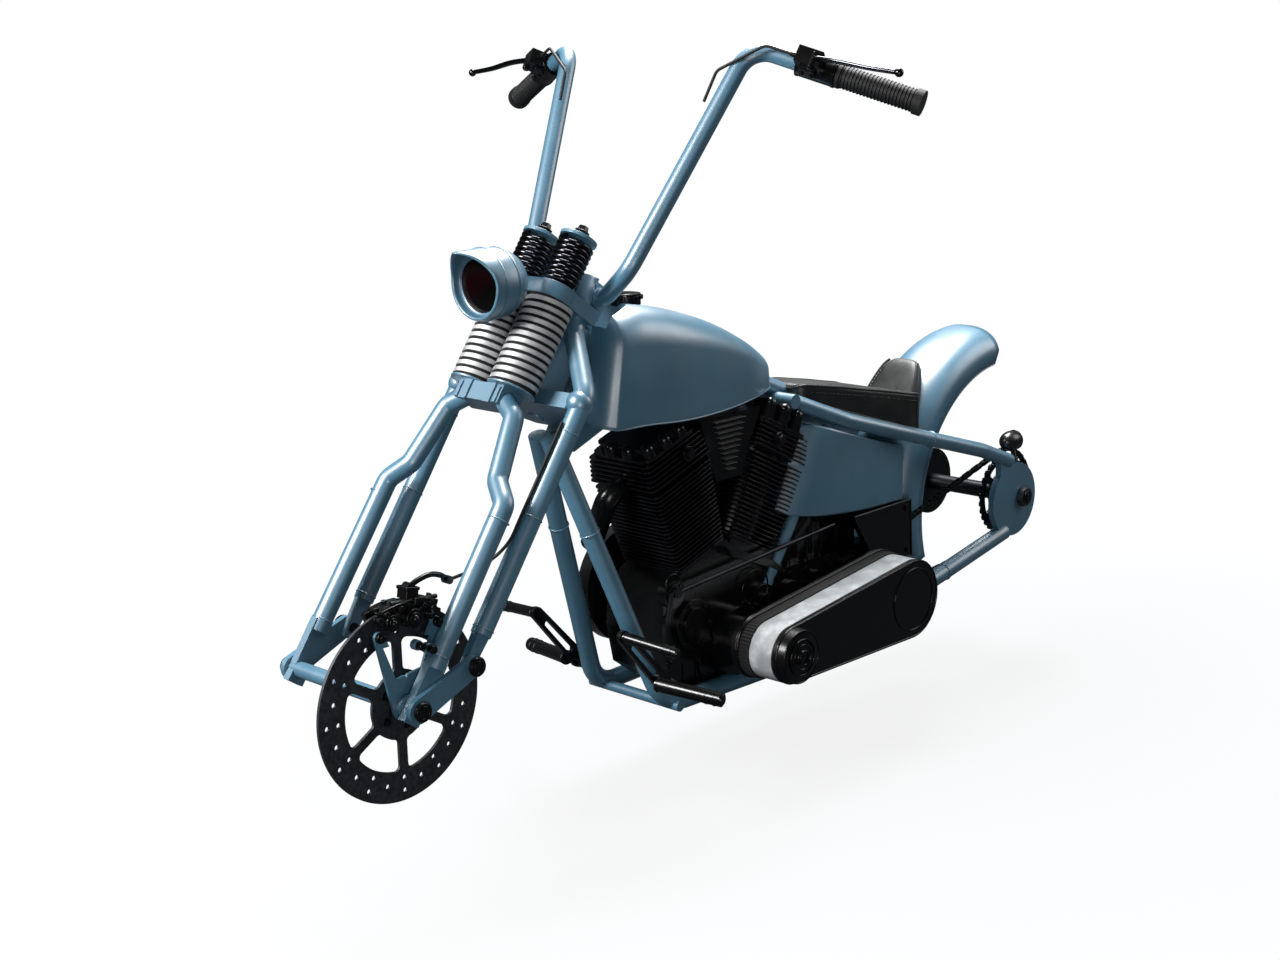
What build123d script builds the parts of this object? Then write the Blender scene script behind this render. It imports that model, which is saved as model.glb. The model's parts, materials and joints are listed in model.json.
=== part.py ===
from build123d import *
import math
import os

os.makedirs("parts", exist_ok=True)

# All sizes are millimetres. The drawing frame has its origin at the front axle's centre,
# +X forward, +Y to the left and +Z up. Every solid is moved so that the seat's top is the origin.

# Seat top under the rider
SEAT_X = -1180.0
SEAT_TOP_Z = 272.0

# Gaps
SEAT_GAP = 0.3
RUN_GAP = 0.05
MOVE_GAP = 6.0

# Front end
RAKE_DEG = 35.6
SIN_RAKE = math.sin(math.radians(RAKE_DEG))
COS_RAKE = math.cos(math.radians(RAKE_DEG))
STEER_OFFSET = -115.0
STEM_R = 14.0
HEAD_R = 27.0
HEAD_LOW = 540.0
HEAD_HIGH = 662.0
RIGID_OFFSET = -63.0
LEG_R = 16.0
LEG_Y = 137.0
REAR_PIVOT_X = -105.0
REAR_PIVOT_Z = 40.0
CAP_OUTER_Y = 161.0
AXLE_R = 12.5

# Frame
TUBE_R = 16.0
RAIL_Z = -172.0
REAR_AXLE_X = -1575.0
PLATE_IN_Y = 118.0
PLATE_OUT_Y = 130.0

# Engine
CRANK_X = -750.0
CRANK_Z = -98.0
FRONT_LEAN = 18.5
REAR_LEAN = -26.5

# Primary drive
PRIMARY_REAR_X = -1086.0
PRIMARY_REAR_Z = -80.0
PRIMARY_FRONT_R = 50.0
PRIMARY_REAR_R = 72.0
PRIMARY_IN_Y = 140.0
PRIMARY_OUT_Y = 222.0
PRIMARY_HUB_Y = 240.0


def fork(s, o, y):
    """A point s up the fork, o forward of the fork's own plane and y to the left."""
    return (-SIN_RAKE * s + COS_RAKE * o, y, COS_RAKE * s + SIN_RAKE * o)


def mirrored(points):
    """The same points on the other side of the centre plane."""
    return [(x, -y, z) for x, y, z in points]


def both_sides(shape):
    """The shape with its mirror image."""
    return shape + mirror(shape, about=Plane.XZ)


def rod(start, end, radius):
    """A round bar from start to end."""
    direction = Vector(*end) - Vector(*start)
    return Solid.make_cylinder(radius, direction.length, Plane(origin=start, z_dir=direction))


def pipe(points, radius, bend):
    """A bent round bar along the points."""
    path = FilletPolyline(*points, radius=bend)
    start = Plane(origin=path @ 0, z_dir=path % 0)
    return sweep(start * Circle(radius), path=path)


def drum(x, z, y_low, y_high, radius):
    """A disc across the machine between two y values."""
    return rod((x, y_low, z), (x, y_high, z), radius)


def plate(points, y_low, y_high):
    """A plate with its side outline given as x, z points."""
    outline = Polyline(*[(x, y_low, z) for x, z in points], close=True)
    return extrude(make_face(outline), amount=y_high - y_low, dir=(0, 1, 0))


def fork_plate(points, y_low, y_high):
    """A plate with its side outline given as s, o points of the fork."""
    return plate([(fork(s, o, 0)[0], fork(s, o, 0)[2]) for s, o in points], y_low, y_high)


def stadium(x1, z1, r1, x2, z2, r2, y_low, y_high):
    """A plate round two circles of different radius."""
    span = math.hypot(x2 - x1, z2 - z1)
    along = math.atan2(z2 - z1, x2 - x1)
    tilt = math.acos((r1 - r2) / span)
    points = []
    for side in (1, -1):
        angle = along + side * tilt
        pair = [
            (x1 + r1 * math.cos(angle), z1 + r1 * math.sin(angle)),
            (x2 + r2 * math.cos(angle), z2 + r2 * math.sin(angle)),
        ]
        points += pair if side == 1 else pair[::-1]
    shape = plate(points, y_low, y_high)
    shape += drum(x1, z1, y_low, y_high, r1)
    shape += drum(x2, z2, y_low, y_high, r2)
    return shape


def section(x, half, low, high, r_top, r_low):
    """An upright cross-section with rounded corners at one x."""
    place = Plane(origin=(x, 0, (low + high) / 2), x_dir=(0, 1, 0), z_dir=(1, 0, 0))
    face = Rectangle(2 * half, high - low)
    face = fillet(face.vertices().filter_by(lambda v: v.Y > 0), r_top)
    face = fillet(face.vertices().filter_by(lambda v: v.Y < 0).sort_by(Axis.Y)[:2], r_low)
    return place * face


def spoked(outer_r, inner_r, spokes, first_deg, width, rounding):
    """The windows between the spokes of a wheel-shaped plate, as a flat sketch."""
    windows = Circle(outer_r) - Circle(inner_r)
    for spoke in range(spokes):
        middle = (outer_r + inner_r) / 2
        bar = Pos(middle, 0) * Rectangle(outer_r, width)
        windows -= Rot(0, 0, first_deg + 360 * spoke / spokes) * bar
    return fillet(windows.vertices(), rounding)


def save(shape, name):
    """Moves the shape to the seat frame and writes it."""
    export_step(Pos(-SEAT_X, 0, -SEAT_TOP_Z) * shape, "parts/" + name + ".step")


# Steering head with gusset and backbone
head_low = fork(HEAD_LOW, STEER_OFFSET, 0)
head_high = fork(HEAD_HIGH, STEER_OFFSET, 0)
BACKBONE = [fork(620, STEER_OFFSET, 0), (-860, 0, 345), (-1037, 0, 270)]
GUSSET = [
    (492, -152), (492, -215), (560, -260), (640, -190), (648, STEER_OFFSET), (545, STEER_OFFSET), (545, -152),
]
head = rod(head_low, head_high, HEAD_R)
head += pipe(BACKBONE, TUBE_R, 120)
head += fork_plate(GUSSET, -7, 7)
bore_low = fork(HEAD_LOW - 60, STEER_OFFSET, 0)
bore_high = fork(HEAD_HIGH + 60, STEER_OFFSET, 0)
stem_bore = rod(bore_low, bore_high, STEM_R + RUN_GAP)
head -= stem_bore

# Lower tubes: down tube, bottom rail and rear stay on each side
LOWER_LEFT = [
    (-412.0, 17.0, 282.0),
    (-576.0, 81.0, RAIL_Z),
    (-1020.0, 100.0, RAIL_Z),
    (-1520.0, 124.0, -62.0),
]
lower = both_sides(pipe(LOWER_LEFT, TUBE_R, [70, 120]))
lower += Pos(-418, 0, 268) * Box(24, 34, 24)
head -= Pos(-418, 0, 268) * Box(24 + 2 * SEAT_GAP, 34, 24 + 2 * SEAT_GAP)
clear_lower = both_sides(pipe(LOWER_LEFT, TUBE_R + SEAT_GAP, [70, 120]))
head -= clear_lower

# Upper rails from the backbone back to the axle plates
UPPER_LEFT = [
    (-968.0, 44.0, 280.0),
    (-1062.0, 88.0, 236.0),
    (-1216.0, 110.0, 187.0),
    (-1440.0, 124.0, 117.5),
    (-1534.0, 124.0, 80.0),
]
upper = both_sides(pipe(UPPER_LEFT, 14.0, [60, 120, 60]))
upper += rod((-955, -60, 284), (-955, 60, 284), 13.0)
upper -= pipe(BACKBONE, TUBE_R + SEAT_GAP, 120)

# Axle plates
PLATE_SHAPE = [(-1498, -60), (-1498, 80), (-1536, 73), (-1536, -73)]
axle_plate = plate(PLATE_SHAPE, PLATE_IN_Y, PLATE_OUT_Y)
axle_plate += drum(-1548, 0, PLATE_IN_Y, PLATE_OUT_Y, 74)
axle_plate -= drum(REAR_AXLE_X, 0, PLATE_IN_Y - 1, PLATE_OUT_Y + 1, 10 + SEAT_GAP)
axle_plate -= clear_lower
axle_plate -= pipe(UPPER_LEFT, 14.0 + SEAT_GAP, [60, 120, 60])
axle_plates = both_sides(axle_plate)

# Seat posts and cross tubes
POST_TOP = (-1040.0, 66.0, 226.0)
POST_LOW = (-860.0, 66.0, -30.0)
posts = both_sides(rod(POST_TOP, POST_LOW, 11.0))
posts -= both_sides(pipe(UPPER_LEFT, 14.0 + SEAT_GAP, [60, 120, 60]))
CROSSES = [(-592.0, RAIL_Z, 105), (-1030.0, -160.0, 110), (-1274.0, 172.0, 116)]
crosses = Part()
for cross_x, cross_z, cross_y in CROSSES:
    crosses += rod((cross_x, -cross_y, cross_z), (cross_x, cross_y, cross_z), 9.0)
crosses -= clear_lower
crosses -= both_sides(pipe(UPPER_LEFT, 14.0 + SEAT_GAP, [60, 120, 60]))

# Tank over the backbone
TANK_SECTIONS = [
    (-470, 82, 326, 497, 55, 8),
    (-545, 94, 315, 503, 60, 8),
    (-640, 95, 307, 487, 60, 8),
    (-740, 84, 305, 455, 50, 8),
    (-830, 66, 308, 413, 36, 8),
    (-903, 38, 314, 366, 20, 8),
]
tank = loft([section(*row) for row in TANK_SECTIONS], ruled=True)
TUNNEL = [(-440, 280), (-440, 470), (-470, 470), (-860, 368), (-930, 338), (-930, 280)]
tank -= plate(TUNNEL, -20, 20)
tank -= plate([(-440, 290), (-457, 320), (-493, 510), (-440, 510)], -120, 120)
tank -= rod(fork(480, STEER_OFFSET, 0), fork(664, STEER_OFFSET, 0), HEAD_R + SEAT_GAP)
tank -= rod(fork(662, STEER_OFFSET, 0), fork(760, STEER_OFFSET, 0), 31)
tank -= rod(fork(673, STEER_OFFSET, 0), fork(760, STEER_OFFSET, 0), 58)

# Filler cap
CAP_X = -594.0
CAP_Z = 497.0
cap = Pos(CAP_X, 0, CAP_Z + 9) * Cylinder(26, 18)
tank -= Pos(CAP_X, 0, CAP_Z) * Cylinder(26 + SEAT_GAP, 2 * SEAT_GAP)
tank -= Pos(CAP_X, 0, CAP_Z + 20) * Cylinder(30, 40)

# Seat and backrest
SEAT_SECTIONS = [
    (-990, 48, 284, 306, 8, 4),
    (-1060, 74, 252, 295, 10, 4),
    (-1180, 100, 212, SEAT_TOP_Z, 10, 4),
    (-1250, 108, 190, 258, 10, 4),
    (-1285, 96, 190, 252, 10, 4),
]
seat = loft([section(*row) for row in SEAT_SECTIONS], ruled=True)
seat -= both_sides(pipe(UPPER_LEFT, 14.0 + SEAT_GAP, [60, 120, 60]))
seat -= pipe(BACKBONE, TUBE_R + SEAT_GAP, 120)
back_low = Plane(origin=(-1300, 0, 190), x_dir=(0, 1, 0), z_dir=(-0.35, 0, 1)) * Rectangle(116, 26)
back_high = Plane(origin=(-1370, 0, 292), x_dir=(0, 1, 0), z_dir=(-0.35, 0, 1)) * Rectangle(66, 20)
backrest = loft([back_low, back_high])
backrest -= Pos(-1285 + 50 - SEAT_GAP, 0, 220) * Box(100, 300, 100)

# Rear fender round the wheel's place
FENDER_R = 338.0
FENDER_SHOULDER_R = 292.0
FENDER_EDGE_R = 267.0
FENDER_HALF = 78.0
FENDER_SKIN = 3.0
FENDER_TAIL = -8.0
FENDER_SWEEP = 115.0


def fender_arch(edges):
    """The closed outline above the rear axle, turned about the axle."""
    face = make_face(edges)
    arch = revolve(face, axis=Axis((REAR_AXLE_X, 0, 0), (0, 1, 0)), revolution_arc=FENDER_SWEEP)
    return arch.rotate(Axis((REAR_AXLE_X, 0, 0), (0, 1, 0)), FENDER_TAIL)


def at_rear(y, z):
    """A point above the rear axle."""
    return (REAR_AXLE_X, y, z)


inner_half = FENDER_HALF - FENDER_SKIN
fender = fender_arch([
    Line(at_rear(-FENDER_HALF, FENDER_EDGE_R), at_rear(-FENDER_HALF, FENDER_SHOULDER_R)),
    ThreePointArc(
        at_rear(-FENDER_HALF, FENDER_SHOULDER_R),
        at_rear(0, FENDER_R),
        at_rear(FENDER_HALF, FENDER_SHOULDER_R),
    ),
    Line(at_rear(FENDER_HALF, FENDER_SHOULDER_R), at_rear(FENDER_HALF, FENDER_EDGE_R)),
    Line(at_rear(FENDER_HALF, FENDER_EDGE_R), at_rear(inner_half, FENDER_EDGE_R)),
    Line(at_rear(inner_half, FENDER_EDGE_R), at_rear(inner_half, FENDER_SHOULDER_R - 1)),
    ThreePointArc(
        at_rear(inner_half, FENDER_SHOULDER_R - 1),
        at_rear(0, FENDER_R - FENDER_SKIN),
        at_rear(-inner_half, FENDER_SHOULDER_R - 1),
    ),
    Line(at_rear(-inner_half, FENDER_SHOULDER_R - 1), at_rear(-inner_half, FENDER_EDGE_R)),
    Line(at_rear(-inner_half, FENDER_EDGE_R), at_rear(-FENDER_HALF, FENDER_EDGE_R)),
])
fender_room = fender_arch([
    Line(at_rear(-FENDER_HALF, 200), at_rear(-FENDER_HALF, FENDER_SHOULDER_R + SEAT_GAP)),
    ThreePointArc(
        at_rear(-FENDER_HALF, FENDER_SHOULDER_R + SEAT_GAP),
        at_rear(0, FENDER_R + SEAT_GAP),
        at_rear(FENDER_HALF, FENDER_SHOULDER_R + SEAT_GAP),
    ),
    Line(at_rear(FENDER_HALF, FENDER_SHOULDER_R + SEAT_GAP), at_rear(FENDER_HALF, 200)),
    Line(at_rear(FENDER_HALF, 200), at_rear(-FENDER_HALF, 200)),
])
backrest -= fender_room
crosses -= fender_room
seat -= fender_room

# Oil tank between the rails
OIL_TANK = [
    (-1014, 232), (-1090, 205), (-1224, 160), (-1221, 58), (-1093, 62), (-991, 73), (-938, 86),
]
oil_tank = plate(OIL_TANK, -96, 96)
oil_tank -= both_sides(rod(POST_TOP, POST_LOW, 11.0 + SEAT_GAP))
oil_tank -= both_sides(pipe(UPPER_LEFT, 14.0 + SEAT_GAP, [60, 120, 60]))
oil_tank -= fender_room

# Engine
FRONT_AXIS = Plane(
    origin=(CRANK_X, 0, CRANK_Z),
    x_dir=(math.cos(math.radians(FRONT_LEAN)), 0, -math.sin(math.radians(FRONT_LEAN))),
    z_dir=(math.sin(math.radians(FRONT_LEAN)), 0, math.cos(math.radians(FRONT_LEAN))),
)
REAR_AXIS = Plane(
    origin=(CRANK_X, 0, CRANK_Z),
    x_dir=(math.cos(math.radians(REAR_LEAN)), 0, -math.sin(math.radians(REAR_LEAN))),
    z_dir=(math.sin(math.radians(REAR_LEAN)), 0, math.cos(math.radians(REAR_LEAN))),
)
DECK = 165.0
BARREL_TOP = 330.0
HEAD_TOP = 384.0
FIN_PITCH = 8.0
FIN_THICK = 2.6
BARREL_R = 56.0
BASE_HALF_X = 62.0
BASE_HALF_Y = 68.0
TOP_HALF_X = 74.0
TOP_HALF_Y = 73.5


def fin(along, half_x, half_y, thick, corner):
    """A cooling fin square to a bank's axis."""
    return extrude(Pos(0, 0, along) * RectangleRounded(2 * half_x, 2 * half_y, corner), amount=thick)


barrel = Pos(0, 0, (DECK + BARREL_TOP) / 2) * Cylinder(BARREL_R, BARREL_TOP - DECK)
barrel += fin(DECK, BASE_HALF_X, BASE_HALF_Y, 6, 10)
fin_count = int((BARREL_TOP - DECK - 10) / FIN_PITCH)
for step in range(fin_count):
    along = DECK + 10 + FIN_PITCH * step
    grow = (along - DECK) / (BARREL_TOP - DECK)
    half_x = BASE_HALF_X + (TOP_HALF_X - BASE_HALF_X) * grow
    half_y = BASE_HALF_Y + (TOP_HALF_Y - BASE_HALF_Y) * grow
    barrel += fin(along, half_x, half_y, FIN_THICK, 16)
barrels = FRONT_AXIS * barrel + REAR_AXIS * barrel
heads = Part()
HEAD_FINS = 6
HEAD_FIN_HALF_X = 77.0
for bank, room in ((FRONT_AXIS, 17), (REAR_AXIS, 34)):
    head_height = HEAD_TOP - BARREL_TOP - SEAT_GAP
    one_head = Pos(0, 0, HEAD_TOP - head_height / 2) * Box(118, 116, head_height)
    for step in range(HEAD_FINS):
        one_head += fin(BARREL_TOP + 3 + FIN_PITCH * step, HEAD_FIN_HALF_X - step, 75 - step, FIN_THICK, 14)
    one_head += fin(HEAD_TOP - 6, 66, 66, 6, 18)
    one_head += fin(HEAD_TOP, 55, 56, room, 12)
    heads += bank * one_head


def deck_point(bank, along):
    """A point on a bank's deck, just under its barrel."""
    spot = bank * Pos(along, 0, DECK - SEAT_GAP)
    return (spot.position.X, spot.position.Z)


CASE = [
    (-596, 6),
    deck_point(FRONT_AXIS, 63),
    deck_point(FRONT_AXIS, -61),
    (-763, 66),
    deck_point(REAR_AXIS, 61),
    deck_point(REAR_AXIS, -63),
    (-884, -12),
    (-884, -150),
    (-868, -168),
    (-655, -168),
    (-604, -130),
    (-590, -60),
]
crankcase = plate(CASE, -64, 68)
crankcase += drum(-612, 14, 60, 79, 24)
crankcase += drum(CRANK_X, CRANK_Z, 60, 100, 60)
crankcase -= clear_lower
crankcase -= both_sides(rod(POST_TOP, POST_LOW, 11.0 + SEAT_GAP))

# Intake between the cylinders
INTAKE = [(-740, 180), (-690, 292), (-856, 292), (-806, 180)]
intake = plate(INTAKE, -58, 62)
for bank in (FRONT_AXIS, REAR_AXIS):
    intake -= bank * loft([
        Pos(0, 0, DECK) * Rectangle(2 * (BASE_HALF_X + SEAT_GAP), 150),
        Pos(0, 0, BARREL_TOP) * Rectangle(2 * (TOP_HALF_X + SEAT_GAP), 150),
    ])
    intake -= bank * Pos(0, 0, BARREL_TOP + 50) * Box(156 + 2 * SEAT_GAP, 160, 100)

# Exhaust elbow on the front cylinder
elbow = pipe([(-592, 0, 201), (-540, 0, 184), (-560, -62, 90)], 19, 22)
elbow -= FRONT_AXIS * Pos(0, 0, 300) * Box(2 * (HEAD_FIN_HALF_X + SEAT_GAP), 160, 240)

# Round cover on the right side of the engine
right_cover = drum(-668, -8, -106, -80, 104)
right_cover += drum(-668, -32, -80, -64 - SEAT_GAP, 48)
right_cover -= clear_lower

# Gearbox with its output sprocket
GEARBOX = [(-884.3, -14), (-1170, -14), (-1190, -60), (-1170, -120), (-1120, -146), (-884.3, -146)]
gearbox = plate(GEARBOX, -56, 60)
gearbox += drum(PRIMARY_REAR_X, PRIMARY_REAR_Z, 60, 100, 20)
gearbox += drum(PRIMARY_REAR_X, PRIMARY_REAR_Z, 80, 88, 42)
gearbox -= both_sides(rod(POST_TOP, POST_LOW, 11.0 + SEAT_GAP))
gearbox -= clear_lower
crosses -= plate(GEARBOX, -56 - SEAT_GAP, 60 + SEAT_GAP)

# Box over the gearbox
guard = plate([(-1066, 57.7), (-1236, 57.7), (-1240, -52), (-1140, -52), (-1112, -20)], 92, 104)
guard += plate([(-1066, 57.7), (-1212, 57.7), (-1212, 30), (-1074, 30)], 20, 92)
guard -= fender_room

# Primary drive
primary_plate = stadium(
    CRANK_X, CRANK_Z, PRIMARY_FRONT_R + 2, PRIMARY_REAR_X, PRIMARY_REAR_Z, PRIMARY_REAR_R + 2, 126, 134
)
primary_plate += drum(CRANK_X, CRANK_Z, 100 + SEAT_GAP, 126, 44)
primary_plate += drum(PRIMARY_REAR_X, PRIMARY_REAR_Z, 100 + SEAT_GAP, 126, 40)
pulleys = Part()
for pulley_x, pulley_z, pulley_r in (
    (CRANK_X, CRANK_Z, PRIMARY_FRONT_R),
    (PRIMARY_REAR_X, PRIMARY_REAR_Z, PRIMARY_REAR_R),
):
    pulleys += drum(pulley_x, pulley_z, 134 + SEAT_GAP, PRIMARY_OUT_Y - 8, pulley_r - 8)
belt = stadium(
    CRANK_X,
    CRANK_Z,
    PRIMARY_FRONT_R,
    PRIMARY_REAR_X,
    PRIMARY_REAR_Z,
    PRIMARY_REAR_R,
    PRIMARY_IN_Y,
    PRIMARY_OUT_Y - 10,
)
belt -= stadium(
    CRANK_X,
    CRANK_Z,
    PRIMARY_FRONT_R - 8 + SEAT_GAP,
    PRIMARY_REAR_X,
    PRIMARY_REAR_Z,
    PRIMARY_REAR_R - 8 + SEAT_GAP,
    PRIMARY_IN_Y - 1,
    PRIMARY_OUT_Y,
)
primary_cover = stadium(
    CRANK_X,
    CRANK_Z,
    PRIMARY_FRONT_R,
    PRIMARY_REAR_X,
    PRIMARY_REAR_Z,
    PRIMARY_REAR_R,
    PRIMARY_OUT_Y - 8 + SEAT_GAP,
    PRIMARY_OUT_Y,
)

primary_cover += drum(CRANK_X, CRANK_Z, PRIMARY_OUT_Y, PRIMARY_HUB_Y, 27)

# Drive chain round both sprockets
CHAIN_IN_Y = 80.0
CHAIN_OUT_Y = 88.0
SPROCKET_R = 80.0
CHAIN_DEPTH = 9.0
chain_rear = SPROCKET_R + MOVE_GAP
chain_front = 42 + SEAT_GAP
chain = stadium(
    REAR_AXLE_X,
    0,
    chain_rear + CHAIN_DEPTH,
    PRIMARY_REAR_X,
    PRIMARY_REAR_Z,
    chain_front + CHAIN_DEPTH,
    CHAIN_IN_Y,
    CHAIN_OUT_Y,
)
chain -= stadium(
    REAR_AXLE_X, 0, chain_rear, PRIMARY_REAR_X, PRIMARY_REAR_Z, chain_front, CHAIN_IN_Y - 1, CHAIN_OUT_Y + 1
)
guard -= stadium(
    REAR_AXLE_X,
    0,
    chain_rear + CHAIN_DEPTH + 1,
    PRIMARY_REAR_X,
    PRIMARY_REAR_Z,
    chain_front + CHAIN_DEPTH + 1,
    CHAIN_IN_Y - 1,
    CHAIN_OUT_Y + 1,
)

# Rear axle, hub, sprocket and rear disc
REAR_AXLE_R = 10.0
rear_axle = drum(REAR_AXLE_X, 0, -PLATE_OUT_Y - 14, PLATE_OUT_Y + 14, REAR_AXLE_R)
rear_axle += both_sides(drum(REAR_AXLE_X, 0, PLATE_OUT_Y + SEAT_GAP, PLATE_OUT_Y + 11, 17))
hub_bore = drum(REAR_AXLE_X, 0, -120, 120, REAR_AXLE_R + RUN_GAP)
HUB_R = 16.0
hub = drum(REAR_AXLE_X, 0, -PLATE_IN_Y + MOVE_GAP, PLATE_IN_Y - MOVE_GAP, HUB_R)
hub -= hub_bore
SPROCKET_BOLT_CIRCLE_R = 38.0
SPROCKET_Y = 84.0
SPROCKET_HALF = 3.0
SPROCKET_TEETH = 30
sprocket = drum(REAR_AXLE_X, 0, SPROCKET_Y - SPROCKET_HALF, SPROCKET_Y + SPROCKET_HALF, SPROCKET_R)
sprocket -= drum(REAR_AXLE_X, 0, SPROCKET_Y - 4, SPROCKET_Y + 4, HUB_R + SEAT_GAP)
SPROCKET_FACE = Plane(origin=(REAR_AXLE_X, SPROCKET_Y + SPROCKET_HALF, 0), x_dir=(1, 0, 0), z_dir=(0, -1, 0))
sprocket -= extrude(SPROCKET_FACE * spoked(66, 47, 5, 36, 14, 4), amount=2 * SPROCKET_HALF)
tooth_gaps = Sketch()
for step in range(SPROCKET_TEETH):
    tooth_gaps += Rot(0, 0, 360 * step / SPROCKET_TEETH) * Pos(SPROCKET_R + 1, 0) * Circle(4.6)
sprocket -= extrude(SPROCKET_FACE * tooth_gaps, amount=2 * SPROCKET_HALF)
rear_disc = drum(REAR_AXLE_X, 0, -95, -90, 68)
rear_disc -= drum(REAR_AXLE_X, 0, -96, -89, HUB_R + SEAT_GAP)
for step in range(5):
    turn = math.radians(72 * step)
    bolt_x = REAR_AXLE_X + SPROCKET_BOLT_CIRCLE_R * math.cos(turn)
    bolt_z = SPROCKET_BOLT_CIRCLE_R * math.sin(turn)
    sprocket -= drum(bolt_x, bolt_z, 80, 88, 4.2)

# Tail lamp on its stay
LAMP_EGG_R = 20.0
lamp_place = Pos(-1560, 112, 114)
lamp = lamp_place * scale(Sphere(LAMP_EGG_R), by=(1.5, 1, 1))
lamp_stay = rod((-1556, 124, 76), (-1562, 114, 100), 5)
lamp_stay -= drum(-1548, 0, PLATE_IN_Y - 10, PLATE_OUT_Y + 10, 74 + SEAT_GAP)
lamp_stay -= lamp_place * Sphere(LAMP_EGG_R + 0.5)

# Foot controls: a bracket with two pegs on each side
bracket = stadium(-556, -122, 15, -464, -18, 11, 98, 106)
bracket -= stadium(-536, -100, 6, -484, -41, 5, 97, 107)
bracket += drum(-560, -126, 80, 98, 12)
bracket -= clear_lower
foot_brackets = both_sides(bracket)
pegs = rod((-536, 106 + SEAT_GAP, -117), (-562, 226, -124), 12)
pegs += rod((-464, 106 + SEAT_GAP, -18), (-480, 206, -28), 9)
pegs -= Pos(-500, 100, -70) * Box(200, 12 + 2 * SEAT_GAP, 200)
foot_pegs = both_sides(pegs)
shift_rod = rod((-612, 84, 18), (-1030, 84, 48), 4)
shift_rod += drum(-612, 18, 79 + SEAT_GAP, 88, 9)
shift_rod -= both_sides(rod(POST_TOP, POST_LOW, 11.0 + SEAT_GAP))

# Rigid fork legs from the rear pivots up through the top tree
LEG_PATH = [
    fork(140, RIGID_OFFSET, LEG_Y + 1),
    fork(534, RIGID_OFFSET, LEG_Y + 2),
    fork(636, RIGID_OFFSET, 56),
    fork(728, RIGID_OFFSET, 34),
]
rigid_leg = pipe(LEG_PATH, LEG_R, [36, 40])
rigid_leg += fork_plate([(76, -70), (76, -54), (160, -49), (160, -77)], 131, 145)
rigid_leg -= drum(REAR_PIVOT_X, REAR_PIVOT_Z, 120, 150, 8 + SEAT_GAP)
rigid_legs = both_sides(rigid_leg)

# Stem with its two trees
stem = rod(fork(503, STEER_OFFSET, 0), fork(694, STEER_OFFSET, 0), STEM_R)


def fork_slab(s_low, s_high, points):
    """A plate square to the fork's length, with its outline given as o, y points."""
    outline = Polyline(*[fork(s_low, o, y) for o, y in points], close=True)
    return extrude(make_face(outline), amount=s_high - s_low, dir=(-SIN_RAKE, 0, COS_RAKE))


LOWER_TREE = [(-143, -24), (-143, 24), (-90, 122), (-50, 122), (-50, -122), (-90, -122)]
TOP_TREE = [(-80, -76), (-80, 76), (-8, 76), (-8, -76)]
TREE_LOOP_R = 36.0
CHEEK = [(530, -104), (530, -52), (656, -52), (656, -104)]
stem += fork_slab(505, 530, LOWER_TREE)
stem += rod(fork(668, STEER_OFFSET, 0), fork(680, STEER_OFFSET, 0), 25)
stem += fork_slab(668, 680, [(-112, -24), (-112, 24), (-100, 24), (-79, 50), (-79, -50), (-100, -24)])
stem += fork_slab(656, 680, TOP_TREE)
stem += fork_slab(656, 680, [(-30, -42), (-30, 42), (28, 42), (28, -42)])
for loop_y in (-42, 42):
    stem += rod(fork(656, -8, loop_y), fork(680, -8, loop_y), TREE_LOOP_R)
    stem += fork_plate(CHEEK, loop_y - 5, loop_y + 1)
for riser_y in (-32, 32):
    riser_low = riser_y - 9
    riser_high = riser_y + 9
    stem += fork_slab(679, 733, [(-116, riser_low), (-116, riser_high), (-84, riser_high), (-84, riser_low)])
clear_rigid = both_sides(pipe(LEG_PATH, LEG_R + SEAT_GAP, [36, 40]))
stem -= clear_rigid

# Spring legs with their kink and the plate that ties them
SPRING_OFFSET = -8.0
KINK_PATH = [
    fork(64, -5, LEG_Y + 1),
    fork(325, -5, LEG_Y - 2),
    fork(358, -5, 100),
    fork(462, -5, 76),
    fork(486, -5, 40),
]
spring_leg = pipe(KINK_PATH, LEG_R, [22, 22, 20])
spring_leg += fork_plate([(-22, -18), (-22, 12), (82, 12), (82, -22)], 131, 145)
spring_legs = both_sides(spring_leg)
spring_legs += fork_slab(472, 502, [(-30, -50), (-30, 50), (16, 50), (16, -50)])
spring_legs -= drum(0, 0, -170, 170, AXLE_R + SEAT_GAP)

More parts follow.
